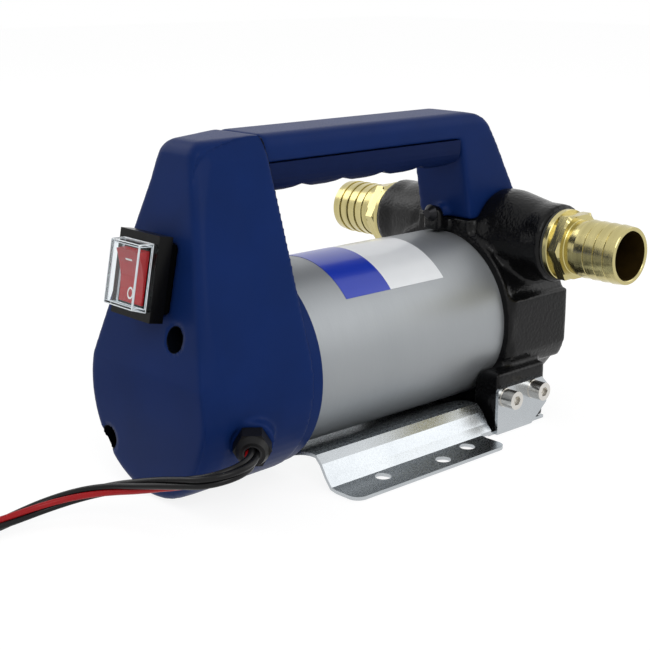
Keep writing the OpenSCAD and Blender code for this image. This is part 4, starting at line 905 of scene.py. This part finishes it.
# marks on the rocker, in millimetres and degrees: where its faces lie, a bar on one half and a ring on the
# other, stretched by wide and tall, and the thickness of the print; the bar is corner times as wide as the
# radius of its corners
rocker = {
    "place": (-167.85, 0, 91), "lean": -79, "pivot": 4.3, "tilt": -11, "slope": 11.4, "out": 6.6,
    "high": 3.98, "bar": (4.4, 0.7), "corner": 3, "cornerSteps": 4, "ring": (2.1, 1.45), "wide": 1.15,
    "tall": 0.9, "sides": 32, "print": 0.08,
}


def rockerPlace(along, flip):
    # the frame on a face of the rocker, along its length
    turn = Matrix.Rotation(math.radians(rocker["lean"]), 4, "Y")
    tilt = Matrix.Rotation(math.radians(rocker["tilt"]), 4, "Y")
    slope = Matrix.Rotation(math.radians(-rocker["slope"] * flip), 4, "Y")
    place = Matrix.Translation(rocker["place"]) @ turn @ Matrix.Translation((0, 0, rocker["pivot"])) @ tilt
    return Matrix.Scale(1 / perMetre, 4) @ place @ Matrix.Translation((along, 0, rocker["high"])) @ slope


def barOutline():
    # a bar with round corners
    length, width = rocker["bar"]
    radius = width / rocker["corner"]
    outline = []
    for right, up, start in ((1, 1, 0), (-1, 1, 90), (-1, -1, 180), (1, -1, 270)):
        for k in range(rocker["cornerSteps"] + 1):
            a = math.radians(start + 90 * k / rocker["cornerSteps"])
            outline.append(Vector((right * (length / 2 - radius) + radius * math.cos(a),
                                   up * (width / 2 - radius) + radius * math.sin(a), 0)))
    return outline


def makeMarks():
    mesh = bmesh.new()
    place = rockerPlace(rocker["out"], 1) @ Matrix.Rotation(math.radians(90), 4, "Z")
    outline = barOutline()
    low = [mesh.verts.new(place @ p) for p in outline]
    high = [mesh.verts.new(place @ (p + Vector((0, 0, rocker["print"])))) for p in outline]
    mesh.faces.new(high)
    mesh.faces.new(low[::-1])
    joinRings(mesh, low, high)
    place = rockerPlace(-rocker["out"], -1)
    outer, inner = rocker["ring"]
    loops = []
    for r, z in ((outer, 0), (outer, rocker["print"]), (inner, rocker["print"]), (inner, 0)):
        loops.append([mesh.verts.new(place @ Vector((rocker["wide"] * r * math.cos(a),
                                                     rocker["tall"] * r * math.sin(a), z)))
                      for a in circle(rocker["sides"])])
    for one, two in zip(loops, loops[1:] + loops[:1]):
        joinRings(mesh, one, two)
    addPiece("rockerMarks", mesh, "rocker", (finish["printedWhite"],))


makeMarks()
print("rocker is printed")

# floor, backdrop and lamps; powers in watts, sizes and places in metres
stage = {
    "floor": 8.0, "below": 0.0006, "paper": "FFFFFF", "paperGlow": 0.8, "glow": 1.08, "world": 0.62,
    "plain": 1.0, "aim": (-0.06, 0, 0.07),
    "lamps": (("keyLamp", 8.0, 0.9, (-0.7, -1.2, 1.3)), ("sideLamp", 5.0, 1.2, (1.3, -0.9, 0.8)),
              ("rimLamp", 6.0, 1.0, (-0.5, 1.3, 1.1))),
}


def whiteForRays(material):
    # gives one for camera, mirror and see-through rays, which find plain white, and nought for the others
    light = addNode(material, "ShaderNodeLightPath")
    some = reckon(material, "MAXIMUM", (light, "Is Camera Ray"), (light, "Is Glossy Ray"))
    return reckon(material, "MAXIMUM", some, (light, "Is Transmission Ray"))


def makeStage():
    half = stage["floor"] / 2
    mesh = bpy.data.meshes.new("studioFloor")
    corners = [(-half, -half, 0), (half, -half, 0), (half, half, 0), (-half, half, 0)]
    mesh.from_pydata(corners, [], [(0, 1, 2, 3)])
    floor = bpy.data.objects.new("studioFloor", mesh)
    floor.location.z = -stage["below"]
    bpy.context.scene.collection.objects.link(floor)
    white = linear(stage["paper"])
    paper = startMaterial("studioPaper")
    diffuse = addNode(paper, "ShaderNodeBsdfDiffuse", {"Color": white})
    glow = addNode(paper, "ShaderNodeEmission", {"Color": white, "Strength": stage["glow"]})
    share = reckon(paper, "MULTIPLY", whiteForRays(paper), stage["paperGlow"])
    mix = addNode(paper, "ShaderNodeMixShader", {}, {0: share, 1: (diffuse, 0), 2: (glow, 0)})
    showSurface(paper, mix)
    mesh.materials.append(paper)
    world = bpy.data.worlds.new("studioWorld")
    bpy.context.scene.world = world
    world.use_nodes = True
    world.node_tree.nodes.clear()
    lit = addNode(world, "ShaderNodeBackground", {"Color": white, "Strength": stage["world"]})
    plain = addNode(world, "ShaderNodeBackground", {"Color": white, "Strength": stage["plain"]})
    mix = addNode(world, "ShaderNodeMixShader", {}, {0: whiteForRays(world), 1: (lit, 0), 2: (plain, 0)})
    addNode(world, "ShaderNodeOutputWorld", {}, {"Surface": (mix, 0)})
    for name, power, size, place in stage["lamps"]:
        lamp = bpy.data.lights.new(name, "AREA")
        lamp.energy = power
        lamp.size = size
        holder = bpy.data.objects.new(name, lamp)
        holder.location = place
        holder.rotation_euler = (Vector(stage["aim"]) - Vector(place)).to_track_quat("-Z", "Y").to_euler()
        bpy.context.scene.collection.objects.link(holder)


makeStage()
bpy.context.scene.view_settings.view_transform = "Standard"
print("stage is lit")
